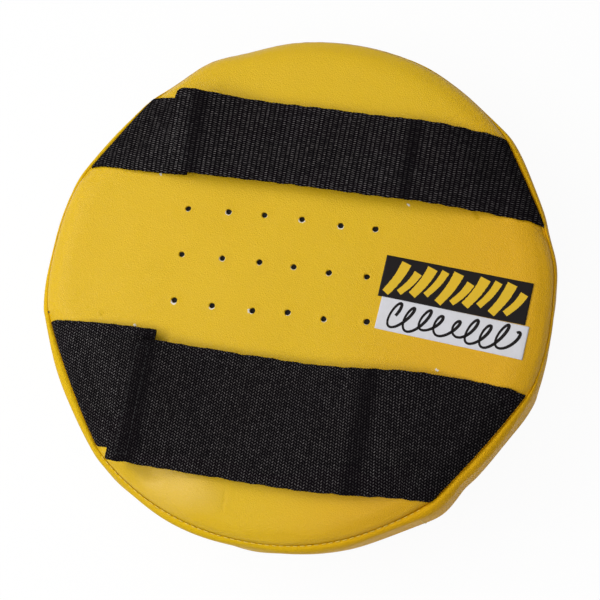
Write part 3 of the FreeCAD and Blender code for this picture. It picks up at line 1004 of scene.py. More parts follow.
# a panel's edge turns down into the seam: how far, and how much narrower it is there
TUCK, TUCKED = 1.3, np.array([0.9985, 0.9985, 1])


def rim_moves(side, insets, turns):
    """How far a panel's rim has settled, at finer insets and turns."""
    settled = round_the_pad(settle_cover()[side], turns)
    return through(CAGE_INSETS, settled, insets)


# middles of the punched vent holes, which stray a little from an even grid
VENTS = (
    (-71.6, 35.6), (-45.8, 36.9), (-23.3, 37.9), (0.2, 38.2), (24.3, 37.5), (45.4, 38.1),
    (-69.9, 6.7), (-44.1, 7.7), (-20.7, 8.4), (0.5, 8.5), (22.3, 7.9), (45.2, 8.7),
    (-68.7, -22.1), (-44.7, -22.0), (-19.5, -21.5), (1.9, -19.4), (24.1, -20.1), (49.7, -18.0),
)
VENT_POINTS = 28
# depth of a punched edge, which is the thickness of the leatherette
LEATHER_THICK = 1.1


def vent_outline(number, grow=0.0, count=VENT_POINTS):
    """Ragged outline of one punched vent hole."""
    draw = np.random.default_rng(400 + number)
    x, y = VENTS[number]
    turn = np.arange(count) * math.tau / count
    reach = bpy.context.scene.shield_cover.vent_size / MM / 2 * (1 + draw.uniform(-0.04, 0.06))
    for order in (2, 3, 5):
        reach = reach + draw.uniform(0.02, 0.09) * np.cos(order * turn + draw.uniform(0, math.tau))
    reach = reach + grow
    return stack(x + reach * np.cos(turn), y + reach * np.sin(turn))


def shrunk(outline, share):
    """An outline drawn in towards its middle."""
    middle = outline.mean(axis=0)
    return middle + (outline - middle) * share


def build_disc(outer, spacing, holes):
    """Points and triangles that fill a closed outline, leaving out the holes' insides."""
    limit = np.hypot(*outer.T).min() - 0.6 * spacing
    rows = np.arange(-limit, limit, spacing * math.sqrt(3) / 2)
    spots = [
        (x + (spacing / 2 if k % 2 else 0), y)
        for k, y in enumerate(rows)
        for x in np.arange(-limit, limit, spacing)
    ]
    spots = np.array([spot for spot in spots if math.hypot(*spot) < limit])
    keep = np.ones(len(spots), bool)
    for rings in holes:
        middle = rings[0].mean(axis=0)
        clear = np.hypot(*(rings[-1] - middle).T).max() + 0.35 * spacing
        keep &= np.hypot(*(spots - middle).T) > clear
    points, edges = [], []
    for ring in [outer] + [ring for rings in holes for ring in rings]:
        start, count = len(points), len(ring)
        points += [*ring]
        edges += [(start + i, start + (i + 1) % count) for i in range(count)]
    points += [*spots[keep]]
    flat, _, faces, *_ = delaunay_2d_cdt([Vector(p) for p in points], edges, [], 0, 1e-7)
    flat = np.array([tuple(p) for p in flat])
    faces = np.array([face for face in faces if len(face) == 3])
    middles = flat[faces].mean(axis=1)
    keep = np.ones(len(faces), bool)
    for rings in holes:
        middle = rings[0].mean(axis=0)
        away, ring = middles - middle, rings[0] - middle
        ring_turns = np.arctan2(ring[:, 1], ring[:, 0])
        order = np.argsort(ring_turns)
        turn = np.arctan2(away[:, 1], away[:, 0])
        edge = np.interp(turn, ring_turns[order], np.hypot(*ring.T)[order], period=math.tau)
        keep &= np.hypot(*away.T) > edge * 0.985
    return flat, faces[keep]


def vent_dish(points):
    """Dip of the leatherette towards each punched hole, and the lip round it."""
    dip = np.zeros(len(points))
    for spot in VENTS:
        away = np.hypot(*(points - np.array(spot)).T)
        dip += 0.30 * mound(away, 2.5, 0.7) - 0.45 * mound(away, 1.2, 0.55)
        dip -= 0.12 * mound(away, 0, 7)
    return dip


# fine creases below the forearm strap's edge: x, lowest and highest y, depth
CREASES = ((-15.2, -143, -126, 0.5), (-9.6, -138, -127, 0.12), (-36.0, -141, -131, 0.10))


def crease_lines(x, y):
    """Depth of the creases at a place."""
    depth = 0
    for middle, low, high, size in CREASES:
        bend = middle + 0.8 * np.sin(y / 5.0 + middle)
        span = smooth((y - low) / 4) * smooth((high - y) / 4)
        depth = depth + size * span * mound(x, bend, 0.65)
    return depth


def vent_walls(start):
    """Edges of the vent holes, through the leatherette: points, and quads numbered from start."""
    walls, quads = [], []
    for n in range(len(VENTS)):
        edge = vent_outline(n)
        top = stack(*edge.T, panel_shape(*edge.T) + vent_dish(edge))
        lower = stack(*shrunk(edge, 0.93).T, top[:, 2] - LEATHER_THICK)
        walls.append(np.concatenate([top, lower]))
        first = start + 2 * VENT_POINTS * n
        quads.append(grid_faces(2, VENT_POINTS, closed=True, start=first)[:, ::-1])
    return np.concatenate(walls), np.concatenate(quads)


def make_back_panel():
    """Rows of points in from the seam, a fine disc with the vent holes, and a strip between them."""
    turns = rim_turns()
    x, y = panel_places(RIM_ROWS, turns)
    rim = stack(x, y, panel_shape(x, y) - crease_lines(x, y))
    rim[..., 2] -= stitch_pucker(turns, RIM_ROWS[:, None])
    rim = rim + rim_moves("back", RIM_ROWS, turns)
    rows = np.concatenate([[rim[0] * TUCKED - [0, 0, TUCK]], rim])
    holes = [
        [vent_outline(n), vent_outline(n, 0.35), vent_outline(n, 0.9, 24)] for n in range(len(VENTS))
    ]
    # the disc's edge takes every other point of the last rim row, a little further in
    count = len(turns)
    half = count // 2
    flat, triangles = build_disc(rim[-1, ::2, :2], 2.1, holes)
    level = panel_shape(*flat.T) + vent_dish(flat)
    edge = rim[-1, ::2, :2] * 0.99
    flat[:half], level[:half] = edge, panel_shape(*edge.T)
    last, start = (len(rows) - 1) * count, len(rows) * count
    k = np.arange(half)
    a, b, c = last + 2 * k, last + 2 * k + 1, last + (2 * k + 2) % count
    here, beside = start + k, start + (k + 1) % half
    joint = np.concatenate([stack(a, b, here), stack(b, beside, here), stack(b, c, beside)])
    points = np.concatenate([rows.reshape(-1, 3), stack(*flat.T, level)])
    walls, wall_quads = vent_walls(len(points))
    mesh = new_mesh(
        "back_panel_cover",
        np.concatenate([points, walls]),
        np.concatenate([grid_faces(len(rows), count, closed=True), wall_quads]),
        np.concatenate([joint, triangles + start]),
    )
    finish = glossy_leatherette()
    piece = new_piece("back_panel_cover", mesh, finish, "pad", ["back_panel"])


def make_side_band():
    """The settled band, drawn in a little at each stitch of both its seams."""
    turns = rim_turns()
    shares = 0.5 - 0.5 * np.cos(np.linspace(0, math.pi, 72))
    points = settled_band(shares, turns)
    pull = stitch_pucker(turns, np.minimum(shares, 1 - shares)[:, None] * 60)
    points[..., 2] -= np.where(shares[:, None] < 0.5, pull, -pull)
    quads = grid_faces(len(shares), len(turns), closed=True)[:, ::-1]
    mesh = new_mesh("side_band_cover", points, quads)
    finish = matt_leatherette()
    piece = new_piece("side_band_cover", mesh, finish, "pad", ["side_band"])


FOAM_TURNS, FOAM_LEVELS = 360, 12
# room left between the foam and the band
FOAM_FIT = 1.6


def make_foam(node, finish, worn=0.0):
    """Foam block that fills the cover from side to side, or lies inside the panel's rim.

    Its top edge is worn back by so many millimetres.
    """
    low, high = box(node)
    turns = np.arange(FOAM_TURNS) * math.tau / FOAM_TURNS
    levels = np.linspace(low[2], high[2], FOAM_LEVELS)
    if high[0] > SEAM_RADIUS:
        shares, line = band_section()
        share = np.interp(-levels, -line[:, 1], shares)
        side = band_point(share[:, None], turns[None, :])
        reach = np.hypot(side[..., 0], side[..., 1]) - FOAM_FIT
    else:
        reach = np.tile(seam_reach(turns) - (SEAM_RADIUS - high[0]), (FOAM_LEVELS, 1))
    reach = reach + 0.15 * ripple(stack(turns), size=0.2, seed=61)
    reach[[0, -1]] -= 0.8
    reach = reach - worn * smooth((levels - high[2] + 4) / 4)[:, None]
    rows = stack(reach * np.cos(turns), reach * np.sin(turns), levels[:, None])
    hub = FOAM_LEVELS * FOAM_TURNS
    floor_fan = fan(0, FOAM_TURNS, hub)
    top_fan = fan(hub - FOAM_TURNS, FOAM_TURNS, hub + 1)[:, ::-1]
    mesh = new_mesh(
        node + "_block",
        np.concatenate([rows.reshape(-1, 3), [[0, 0, low[2]], [0, 0, high[2]]]]),
        grid_faces(FOAM_LEVELS, FOAM_TURNS, closed=True),
        np.concatenate([floor_fan, top_fan]),
    )
    return new_piece(node + "_block", mesh, finish, "pad", [node])


def make_strike_panel():
    """Rows of points in from the seam to the middle of the face, which stays level with the floor."""
    turns = rim_turns()[::2]
    insets = np.concatenate([RIM_ROWS, np.arange(40, 150, 6.0)])
    x, y = panel_places(insets, turns)
    level = LOWER_SEAM - rim_rise(insets)[:, None] + 0 * x
    level = level + 0.12 * (1 + ripple(stack(x, y), size=30, seed=8)) * smooth(insets / 20)[:, None]
    rim = stack(x, y, np.maximum(level, 0.0))
    rim = rim + rim_moves("strike", insets, turns) * (insets < 30)[:, None, None]
    rim[..., 2] = np.maximum(rim[..., 2], 0.02)
    rows = np.concatenate([[rim[0] * TUCKED + [0, 0, TUCK]], rim])
    middle = [[0, 0, rows[-1, :, 2].mean()]]
    hub = len(rows) * len(turns)
    mesh = new_mesh(
        "strike_panel_cover",
        np.concatenate([rows.reshape(-1, 3), middle]),
        grid_faces(len(rows), len(turns), closed=True)[:, ::-1],
        fan(hub - len(turns), len(turns), hub),
    )
    finish = glossy_leatherette()
    piece = new_piece("strike_panel_cover", mesh, finish, "pad", ["strike_panel"])


# ------------------------------------------------------------------ stitches

STITCH_STEPS, STITCH_SIDES = 9, 8
# thickness of a thread and how far a stitch bows up between its holes
COVER_STITCH, BAND_STITCH, STRAP_STITCH, THREAD_END = (0.62, 0.22), (0.62, 0.2), (0.4, 0.1), (1.1, 0.2)
# depth of the stitches drawn into the back seam, and degrees round the pad where they lie loose
DRAWN_IN, LOOSE_TURN = 1.3, -98
# spacing of the stitches where the band's ends are joined
JOIN_PITCH = 3.4


def stitch_row(starts, ends, ups, thick, bow):
    """Stitches from starts to ends: short twisted threads that dip in at both ends."""
    count = len(starts)
    along = np.linspace(0, 1, STITCH_STEPS)
    around = np.arange(STITCH_SIDES) * math.tau / STITCH_SIDES
    axis = ends - starts
    length = np.linalg.norm(axis, axis=1, keepdims=True)
    axis = axis / length
    side = np.cross(axis, ups)
    side /= np.linalg.norm(side, axis=1, keepdims=True)
    up = np.cross(side, axis)
    size = np.maximum(thick / 2 * (1 - np.abs(2 * along - 1) ** 4) ** 0.5, 0.02)
    dip = bow * (1 - (2 * along - 1) ** 2)
    twist = around[None, :] - 5.0 * along[:, None]
    swell = size[:, None] * (1 + 0.13 * np.cos(2 * twist))
    centre = starts[:, None] + along[None, :, None] * (ends - starts)[:, None]
    centre = centre + dip[None, :, None] * up[:, None]
    points = centre[:, :, None] + swell[None, :, :, None] * (
        np.cos(around)[None, None, :, None] * side[:, None, None]
        + np.sin(around)[None, None, :, None] * up[:, None, None]
    )
    each = grid_faces(STITCH_STEPS, STITCH_SIDES, closed=True)
    quads = np.concatenate([each + STITCH_STEPS * STITCH_SIDES * n for n in range(count)])
    flat = stack(
        along[None, :, None] * length[:, :, None] + 7.0 * np.arange(count)[:, None, None],
        around[None, None, :] * thick / 2,
    )
    return points.reshape(-1, 3), quads, flat.reshape(-1, 2)


def make_stitches(name, row, thread, body, replaces=()):
    points, quads, flat = row
    return new_piece(name, new_mesh(name, points, quads, flat=flat), thread, body, replaces)


def settled_band(shares, turns):
    """Points of the band once it has settled: a row round the pad for each share."""
    settled = through(CAGE_SHARES, round_the_pad(settle_cover()["band"], turns), shares)
    hold = smooth(np.minimum(shares, 1 - shares) / 0.06)[:, None, None]
    return band_point(shares[:, None], turns[None, :]) + settled * hold


def seam_line(turn, back):
    """Point where the thread lies, on the band's side of a seam."""
    shares, line = band_section()
    share = np.interp(0.08, line[:6, 0], shares[:6])
    point = settled_band(np.array([share if back else 1 - share]), np.atleast_1d(turn))[0]
    return point + np.array([0, 0, 0.16 if back else -0.16])


def make_seam_stitches(name, node, back):
    """One seam's stitches all round the pad, each a little off its even place."""
    count = stitch_count()
    draw = np.random.default_rng(31 if back else 32)
    middle = (np.arange(count) + 0.5) * math.tau / count
    middle = middle + draw.normal(0, 0.0006, count)
    half = math.tau / count * (0.36 + draw.uniform(-0.03, 0.03, count))
    starts, ends = seam_line(middle - half, back), seam_line(middle + half, back)
    ends = ends + draw.normal(0, 0.05, ends.shape)
    outward = stack(np.cos(middle), np.sin(middle), 0)
    ups = 0.45 * outward + [0, 0, 1.0 if back else -1.0]
    if back:
        # drawn in deep at the straps, and all the way round but for one long stretch
        loose = mound(np.degrees(turn_between(middle, math.radians(LOOSE_TURN))), 0, 40)
        drawn_in = np.maximum(pull_at_straps(middle), 1 - smooth(2.2 * loose))
        sunk = stack(0, 0, DRAWN_IN * drawn_in)
        starts, ends = starts - sunk, ends - sunk
    row = stitch_row(starts, ends, ups, *COVER_STITCH)
    return make_stitches(name, row, cover_thread(), "pad", [node])


def make_band_join():
    """The upright stitching where the band's two ends meet."""
    low, high = box("band_join_thread")
    turn = math.atan2(low[1] + high[1], low[0] + high[0])
    shares, line = band_section()
    levels = np.arange(high[2] - 1.5, low[2] + 1.5, -JOIN_PITCH)
    at = np.interp(-levels, -line[:, 1], shares)
    settled = round_the_pad(settle_cover()["band"], np.array([turn]))[:, 0]
    points = band_point(at, np.full(len(at), turn)) + through(CAGE_SHARES, settled, at)
    outward = np.tile([math.cos(turn), math.sin(turn), 0], (len(levels), 1))
    starts, ends = (points + [0, 0, up] - 0.1 * outward for up in (1.3, -1.3))
    row = stitch_row(starts, ends, outward, *BAND_STITCH)
    thread = cover_thread()
    return make_stitches(
        "band_join_stitches", row, thread, "pad", ["band_join_thread"]
    )


# ------------------------------------------------------------------ straps

# length of webbing that bends down into the seam, and how high it lies over the seam there
BEND = 3.0
SEAM_LIFT = 1.2
# width over which a strap's twist is counted, and the place along x from which it twists
TWIST_WIDTH = 50
TWIST_FROM = -30


@dataclass
class Strap:
    """How one webbing strap or tab lies: its seat in the seam, its plan, its underside, its ends.

    Its middle line, width and arch are each places along x and the values there. Towards the seam
    it comes down at its rise, and its free end may be twisted. Its corners are rounded off.
    """

    name: str
    cloth: str
    seat: tuple
    middle: tuple
    width: tuple
    arch: tuple
    rise: float
    free_end: float
    seam_end: float
    corner: float
    twist: float = 0.0

    @property
    def body(self):
        return self.name + "_body"

    def seam_gap(self, x, y):
        """Distance in from the straight seam."""
        facing = self.seat[0]
        along = x * math.cos(facing) + y * math.sin(facing)
        return bowed(self.seat, np.arctan2(y, x)) - along

    def underside(self, x, y):
        """Level of the webbing's underside: its arch, its slope to the seam, or the rim it lies on."""
        gap = self.seam_gap(x, y)
        centre = through(*self.middle, x)
        arch = through(*self.arch, x)
        if self.twist:
            arch = arch + self.twist * (y - centre) / TWIST_WIDTH * smooth((TWIST_FROM - x) / 50)
        plane = SEAM_LEVEL + SEAM_LIFT + self.rise * gap
        level = soft_min(arch, plane, 2.5)
        turn = np.arctan2(y, x)
        inset = seam_reach(turn) - np.hypot(x, y)
        return soft_max(level, SEAM_LEVEL + rim_rise(inset) - 1.2 * np.exp(-inset / 9), 0.8)

    def lay(self, along, across):
        """Middle surface of the webbing, with its end tucked down into the seam."""
        centre = through(*self.middle, along)
        slope = through(*self.middle, along + 0.5) - through(*self.middle, along - 0.5)
        x, y = along - across * slope, centre + across
        facing = self.seat[0]
        gap = self.seam_gap(x, y)
        radius = BEND / (math.pi / 2)
        turn = math.pi / 2 * np.clip((BEND - gap) / BEND, 0, 1)
        back = np.where(gap < BEND, (BEND - gap) - radius * np.sin(turn), 0)
        drop = radius * (1 - np.cos(turn)) + np.maximum(-gap, 0)
        flat_x = x - back * math.cos(facing)
        flat_y = y - back * math.sin(facing)
        level = self.underside(flat_x, flat_y) + WEBBING / 2 - drop
        return stack(flat_x, flat_y, level), gap

    def upright(self, along, across):
        """Direction out of the webbing's top."""
        step = 0.2
        by_length = self.lay(along + step, across)[0] - self.lay(along - step, across)[0]
        by_width = self.lay(along, across + step)[0] - self.lay(along, across - step)[0]
        normal = np.cross(by_length, by_width)
        return normal / np.maximum(np.linalg.norm(normal, axis=-1, keepdims=True), 1e-9)


HAND_STRAP = Strap(
    name="hand_strap",
    cloth="hand",
    seat=HAND_SEAT,
    middle=(
        (-92, -70, -45, 0, 40, 70, 100, 125, 150),
        (81.9, 81.2, 81.3, 81.6, 80.9, 80.9, 80.5, 79.8, 79.2),
    ),
    width=((-92, -60, 0, 60, 110, 150), (50.8, 50.2, 49.6, 49.4, 49.2, 49.2)),
    arch=(
        (-95, -82, -72, -64, -52, -30, 20, 52, 64, 76, 95, 112, 130, 150),
        (79.8, 81.1, 81.8, 81.1, 79.2, 77.6, 77.3, 78.0, 78.2, 77.4, 74.9, 72.2, 68.0, 63.0),
    ),
    rise=0.46,
    free_end=-89.9,
    seam_end=151.0,
    corner=5.0,
    twist=8.0,
)
FOREARM_STRAP = Strap(
    name="forearm_strap",
    cloth="forearm",
    seat=FOREARM_SEAT,
    middle=(
        (-95, -70, -45, 0, 25, 50, 85, 110, 150),
        (-86.5, -86.2, -86.0, -85.7, -85.3, -83.5, -79.8, -79.1, -80.2),
    ),
    width=((-92, -60, 0, 50, 90, 120, 150), (73.8, 73.6, 73.0, 72.2, 71.6, 71.2, 68.6)),
    arch=(
        (-98, -88, -80, -72, -60, -40, 20, 52, 64, 76, 95, 112, 130, 150),
        (78.2, 78.8, 79.1, 78.7, 77.4, 76.1, 75.8, 76.4, 76.5, 76.0, 73.9, 71.4, 67.2, 62.0),
    ),
    rise=0.44,
    free_end=-88.4,
    seam_end=156.0,
    corner=1.2,
)


def tab_arch(strap):
    """A tab's underside lies two patches, their gap and its own webbing below its strap's."""
    places, levels = np.array(strap.arch, float)
    return places, levels - (2 * PATCH + PATCH_GAP + WEBBING)


HAND_TAB = Strap(
    name="hand_tab",
    cloth="hand",
    seat=HAND_TAB_SEAT,
    middle=((-150, -120, -76), (79.7, 80.0, 80.2)),
    width=((-150, -125, -76), (47.8, 49.4, 49.8)),
    arch=tab_arch(HAND_STRAP),
    rise=0.40,
    free_end=-74.1,
    seam_end=-151.0,
    corner=3.0,
    twist=8.0,
)
FOREARM_TAB = Strap(
    name="forearm_tab",
    cloth="forearm",
    seat=FOREARM_TAB_SEAT,
    middle=((-150, -125, -76), (-81.1, -80.3, -79.1)),
    width=((-150, -125, -76), (69.4, 72.0, 73.2)),
    arch=tab_arch(FOREARM_STRAP),
    rise=0.38,
    free_end=-73.8,
    seam_end=-156.0,
    corner=1.0,
)


def cloth_sizes(strap):
    """Pick and end spacing of a strap's weave, in millimetres."""
    straps = bpy.context.scene.shield_straps
    if strap.cloth == "hand":
        return straps.hand_pick / MM, straps.hand_end / MM
    return straps.forearm_pick / MM, straps.forearm_end / MM


def weave(pick, end, along, across):
    """Crowns of the weave on its top and on its underside, as shares of the crown's height."""
    number = np.floor(across / end + 1e-6)
    within = across / end - number - 0.5
    yarn = np.sqrt(np.maximum(0, 1 - (1.9 * within) ** 2))
    over = 0.5 + 0.5 * np.cos(math.pi * (along / pick + number))
    return yarn * over, yarn * (1 - over)


# width of the bound edge of a strap, in ends of its weave; how far the webbing's points go down
# into the seam before they are left out
SELVEDGE = 1.4
TRIM = -2.4


def cut_end(strap, along, across, wide, seed):
    """Places along a strap, drawn back at its free end to a cut with rounded corners."""
    near_edge = np.clip((np.abs(across) - wide / 2 + strap.corner) / strap.corner, 0, 1)
    cut = strap.corner * (1 - np.sqrt(np.maximum(0, 1 - near_edge**2)))
    cut = cut + 0.18 * ripple(stack(0 * across, across), size=2.0, seed=seed)
    run = np.broadcast_to(along[:, None], across.shape)
    if strap.free_end < strap.seam_end:
        return np.maximum(run, strap.free_end + cut)
    return np.minimum(run, strap.free_end - cut)


def webbing_mesh(strap):
    """Mesh of one strap: woven top and underside, looped edges, trimmed where it enters the seam."""
    pick, end = cloth_sizes(strap)
    crown = bpy.context.scene.shield_straps.crown / MM
    low, high = sorted((strap.free_end, strap.seam_end))
    along = np.arange(0, int((high - low) / pick) * 4 + 1) * pick / 4 + low
    ends = int(round(float(np.mean(strap.width[1])) / end / 2)) * 2
    steps = np.arange(ends * 2 + 1) / (ends * 2) - 0.5
    flat_across = np.arange(ends * 2 + 1) * end / 2
    wide = through(*strap.width, along)[:, None]
    edge = smooth((np.abs(steps) - 0.5 + SELVEDGE / ends) / (SELVEDGE / ends))[None, :]
    scallop = 0.3 * np.abs(np.cos(math.pi * along / min(pick, 1.9)))[:, None] - 0.2
    seed = 50 + len(strap.name)
    loose = 0.22 * ripple(stack(along, 0 * along), size=9, seed=seed)[:, None]
    across = wide * steps[None, :] + np.sign(steps)[None, :] * edge * (scallop + loose)
    run = cut_end(strap, along, across, wide, seed + 2)
    middle, gap = strap.lay(run, across)
    normal = strap.upright(run, across)
    over, under = weave(pick, end, along[:, None], flat_across[None, :])
    uneven = 1 + 0.15 * ripple(stack(run, across), size=7, seed=seed + 1)
    thick = (WEBBING / 2 - 0.3) * (1 - 0.55 * edge**2)
    top = middle + normal * (thick + crown * over * uneven)[..., None]
    bottom = middle - normal * (thick + crown * under * uneven)[..., None]
    side = np.gradient(middle, axis=1)
    side /= np.maximum(np.linalg.norm(side, axis=-1, keepdims=True), 1e-9)
    bead = 0.16 + 0.1 * np.abs(np.cos(math.pi * along / pick / 2))[:, None]
    left = middle[:, 0] - side[:, 0] * bead
    right = middle[:, -1] + side[:, -1] * bead
    # one closed loop of points round the strap at each step along it
    loops = np.concatenate([top, right[:, None], bottom[:, ::-1], left[:, None]], axis=1)
    round_count = loops.shape[1]
    flat_loop = np.concatenate([flat_across, [flat_across[-1] + end], flat_across[::-1], [-end]])
    flats = stack(along[:, None], flat_loop[None, :])
    quads = grid_faces(len(along), round_count, closed=True)
    gap_loop = np.concatenate([gap, gap[:, -1:], gap[:, ::-1], gap[:, :1]], axis=1).ravel()
    keep = gap_loop[quads].max(axis=1) > TRIM
    points = loops.reshape(-1, 3)
    spans = points[quads]
    area = np.linalg.norm(np.cross(spans[:, 2] - spans[:, 0], spans[:, 3] - spans[:, 1]), axis=1)
    quads = quads[keep & (area > 1e-5)]
    # the cut end: top joined to underside
    end_is_low = strap.free_end == low
    base = 0 if end_is_low else (len(along) - 1) * round_count
    j = np.arange(top.shape[1] - 1)
    cap = base + stack(j, j + 1, round_count - 3 - j, round_count - 2 - j)
    cap = cap if end_is_low else cap[:, ::-1]
    quads = np.concatenate([quads, cap])
    return new_mesh(strap.name + "_webbing", points, quads, flat=flats.reshape(-1, 2))


def make_webbing(strap):
    mesh, finish = webbing_mesh(strap), webbing_finish(f"Black {strap.cloth} webbing", strap)
    new_piece(strap.name + "_webbing", mesh, finish, strap.body, [strap.name])


# how far a patch stays in from the webbing's edges; spacing of its hooks and of its stitches
PATCH_MARGIN = 3.0
HOOK_PITCH = 1.4
PATCH_STITCH = 2.9


def make_patch(strap, node, hooks, finish):
    """Hook tape under a strap, or loop tape on a tab, that follows the webbing."""
    low, high = box(node)
    drop = -WEBBING / 2 - PATCH if hooks else WEBBING / 2
    along = np.linspace(low[0], high[0] - 2.0, 40)[:, None]
    share = np.linspace(-0.5, 0.5, 150)[None, :]
    wide = through(*strap.width, along) - 2 * PATCH_MARGIN
    run, across = np.broadcast_arrays(along, wide * share)
    across = np.minimum(across, high[1] - 5.0 - through(*strap.middle, along))
    middle, _ = strap.lay(run, across)
    normal = strap.upright(run, across)
    top = middle + normal * (drop + PATCH)
    bottom = middle + normal * drop
    if hooks:
        rows = np.sin(run * math.tau / HOOK_PITCH) * np.sin(across * math.tau / HOOK_PITCH)
        bottom = bottom + normal * 0.25 * np.abs(rows)[..., None]
    else:
        pile = 0.16 * ripple(stack(run, across), size=1.3, seed=78)
        top = top - normal * np.abs(pile)[..., None]
    flat = stack(run, across).reshape(-1, 2)
    mesh = new_mesh(node + "_tape", *slab(top, bottom), flat=np.concatenate([flat, flat]))
    return new_piece(node + "_tape", mesh, finish, strap.body, [node])


def make_patch_stitches(strap, node, above):
    """Stitching of a patch, all round it, on the side of the webbing away from the patch."""
    low, high = box(node)
    middle_x = (low[0] + high[0]) / 2
    half_x = (high[0] - low[0]) / 2 - 0.3
    half_y = float(through(*strap.width, middle_x)) / 2 - 4.5
    corners = np.array([(-1, -1), (1, -1), (1, 1), (-1, 1), (-1, -1)]) * [half_x, half_y]
    corners = corners + [middle_x, 0]
    spots = []
    for a, b in zip(corners, corners[1:]):
        count = max(2, round(float(np.hypot(*(b - a))) / PATCH_STITCH))
        steps = (np.arange(count)[:, None] + [0.14, 0.86]) / count
        spots.append(a + (b - a) * steps[..., None])
    x, across = np.moveaxis(np.concatenate(spots), -1, 0)
    sign = 1.0 if above else -1.0
    level = strap.underside(x, through(*strap.middle, x) + across)
    level = level + WEBBING / 2 + sign * (WEBBING / 2 - 0.25)
    starts, ends = np.moveaxis(stack(x, through(*strap.middle, x) + across, level), 1, 0)
    row = stitch_row(starts, ends, np.tile([0, 0, sign], (len(starts), 1)), *STRAP_STITCH)
    return make_stitches(node + "_stitches", row, black_thread(), strap.body, [node])


# ------------------------------------------------------------------ label


def film_point(film, u, v, lift):
    """Point on a label film: u and v run from -0.5 to 0.5 over it."""
    along, across = u * film.length, v * film.width
    x = film.middle[0] + along * math.cos(film.turn) - across * math.sin(film.turn)
    y = film.middle[1] + along * math.sin(film.turn) + across * math.cos(film.turn)
    return stack(x, y, panel_shape(x, y) + lift)


Film = namedtuple("Film", "middle length width turn")
UPPER_FILM = Film((97.7, 8.3), 87.0, 25.0, math.radians(-3.4))
LOWER_FILM = Film((98.9, -14.2), 87.0, 19.6, math.radians(-3.8))
# levels over the back panel of a film's top, of its hidden edge and of the print on it
FILM_TOP, FILM_EDGE, PRINT_LIFT = 0.25, -0.1, 0.32
# a mark's dabs, taken in turn: half height, middle, half width
DABS = ((0.39, 0.0, 2.9), (0.27, -0.06, 2.3), (0.36, 0.03, 3.0), (0.32, 0.05, 2.2))


def make_film(node, film, finish):
    u = np.linspace(-0.5, 0.5, 120)[:, None]
    v = np.linspace(-0.5, 0.5, 36)[None, :]
    top, edge = (film_point(film, u, v, lift) for lift in (FILM_TOP, FILM_EDGE))
    mesh = new_mesh(node + "_film", *slab(top, edge, floored=False))
    return new_piece(node + "_film", mesh, finish, "pad", [node])


def stroke(film, line, half):
    """Brush stroke on a film: a strip along line, half as wide as half says at each step."""
    scale = np.array([film.length, film.width])
    along = np.gradient(line, axis=0) * scale
    along /= np.maximum(np.linalg.norm(along, axis=1, keepdims=True), 1e-9)
    across = stack(-along[:, 1], along[:, 0]) / scale
    strip = line[:, None] + across[:, None] * (half[:, None, None] * np.linspace(-1, 1, 5)[:, None])
    points = film_point(film, strip[..., 0], strip[..., 1], PRINT_LIFT)
    return points, grid_faces(len(line), 5), strip * scale


def make_mark(name, strokes, finish):
    points, quads, flat = join_parts(strokes)
    return new_piece(name, new_mesh(name, points, quads, flat=flat), finish, "pad")


def make_upper_mark(finish):
    """Row of slanting brush dabs on the dark field, each apart from the next."""
    draw = np.random.default_rng(5)
    t = np.linspace(0, 1, 30)
    strokes = []
    for k, x in enumerate(np.linspace(-0.405, 0.405, 10)):
        tall, rise, thick = DABS[k % len(DABS)]
        line = stack(x + 0.05 * (2 * t - 1) + 0.012 * np.sin(math.pi * t), rise + tall * (2 * t - 1))
        half = thick * (0.8 + 0.25 * t) * (1 + 0.03 * draw.normal(size=len(t)))
        strokes.append(stroke(UPPER_FILM, line, half))
    return make_mark("label_upper_mark", strokes, finish)


def make_lower_mark(finish):
    """Thin looping pen line on the white field."""
    t = np.linspace(0, 1, 900)
    turn = math.tau * (8.25 * t + 0.10 * np.sin(7.0 * t) + 0.06 * np.sin(19.0 * t))
    swing = 0.40 * (0.8 + 0.14 * np.sin(9.0 * t + 0.4) + 0.1 * np.sin(31.0 * t))
    line = stack(
        -0.42 + 0.84 * t + 0.04 * np.cos(turn) + 0.1 * swing * np.sin(turn),
        swing * np.sin(turn) + 0.03 * np.sin(23.0 * t),
    )
    strokes = [stroke(LOWER_FILM, line, 0.8 + 0.14 * np.sin(turn + 1.1))]
    return make_mark("label_lower_mark", strokes, finish)


# ------------------------------------------------------------------ small marks


# rings of a vent's lining: share of the hole's width, depth below the panel
LINING = ((0.98, 0.9), (0.93, 2.0), (0.9, 6.5), (0.02, 6.6))


def make_vent_linings(finish):
    """Insides of the punched holes, down through the board and closed at the bottom."""
    rows, quads = [], []
    for n in range(len(VENTS)):
        for share, depth in LINING:
            rows.append(stack(*shrunk(vent_outline(n), share).T, TOP_LEVEL - depth))
        start = len(LINING) * VENT_POINTS * n
        quads.append(grid_faces(len(LINING), VENT_POINTS, closed=True, start=start)[:, ::-1])
    mesh = new_mesh("vent_linings", np.array(rows), np.concatenate(quads))
    return new_piece("vent_linings", mesh, finish, "pad")


# backing cloth torn out at the vents: number of the vent, facing, sweep, how far it is torn out
TORN = (
    (0, -80, 1.8, 0.55), (1, -90, 3.9, 0.85), (2, -40, 1.6, 0.6), (3, -95, 3.2, 0.95), (3, -30, 0.5, 1.6),
    (4, -90, 3.2, 1.1), (5, -75, 2.6, 0.6), (6, -40, 1.6, 0.6), (7, -90, 4.2, 0.6), (8, -80, 2.2, 0.5),
    (9, -90, 3.4, 0.5), (10, -80, 2.8, 0.6), (11, -100, 1.2, 0.3), (12, -100, 2.6, 1.5), (12, -80, 0.8, 2.0),
    (13, -85, 2.4, 1.3), (14, 195, 1.5, 1.7), (14, -110, 1.6, 0.7), (15, -60, 2.4, 0.6), (16, -60, 2.6, 0.6),
    (17, -90, 1.4, 0.4),
)


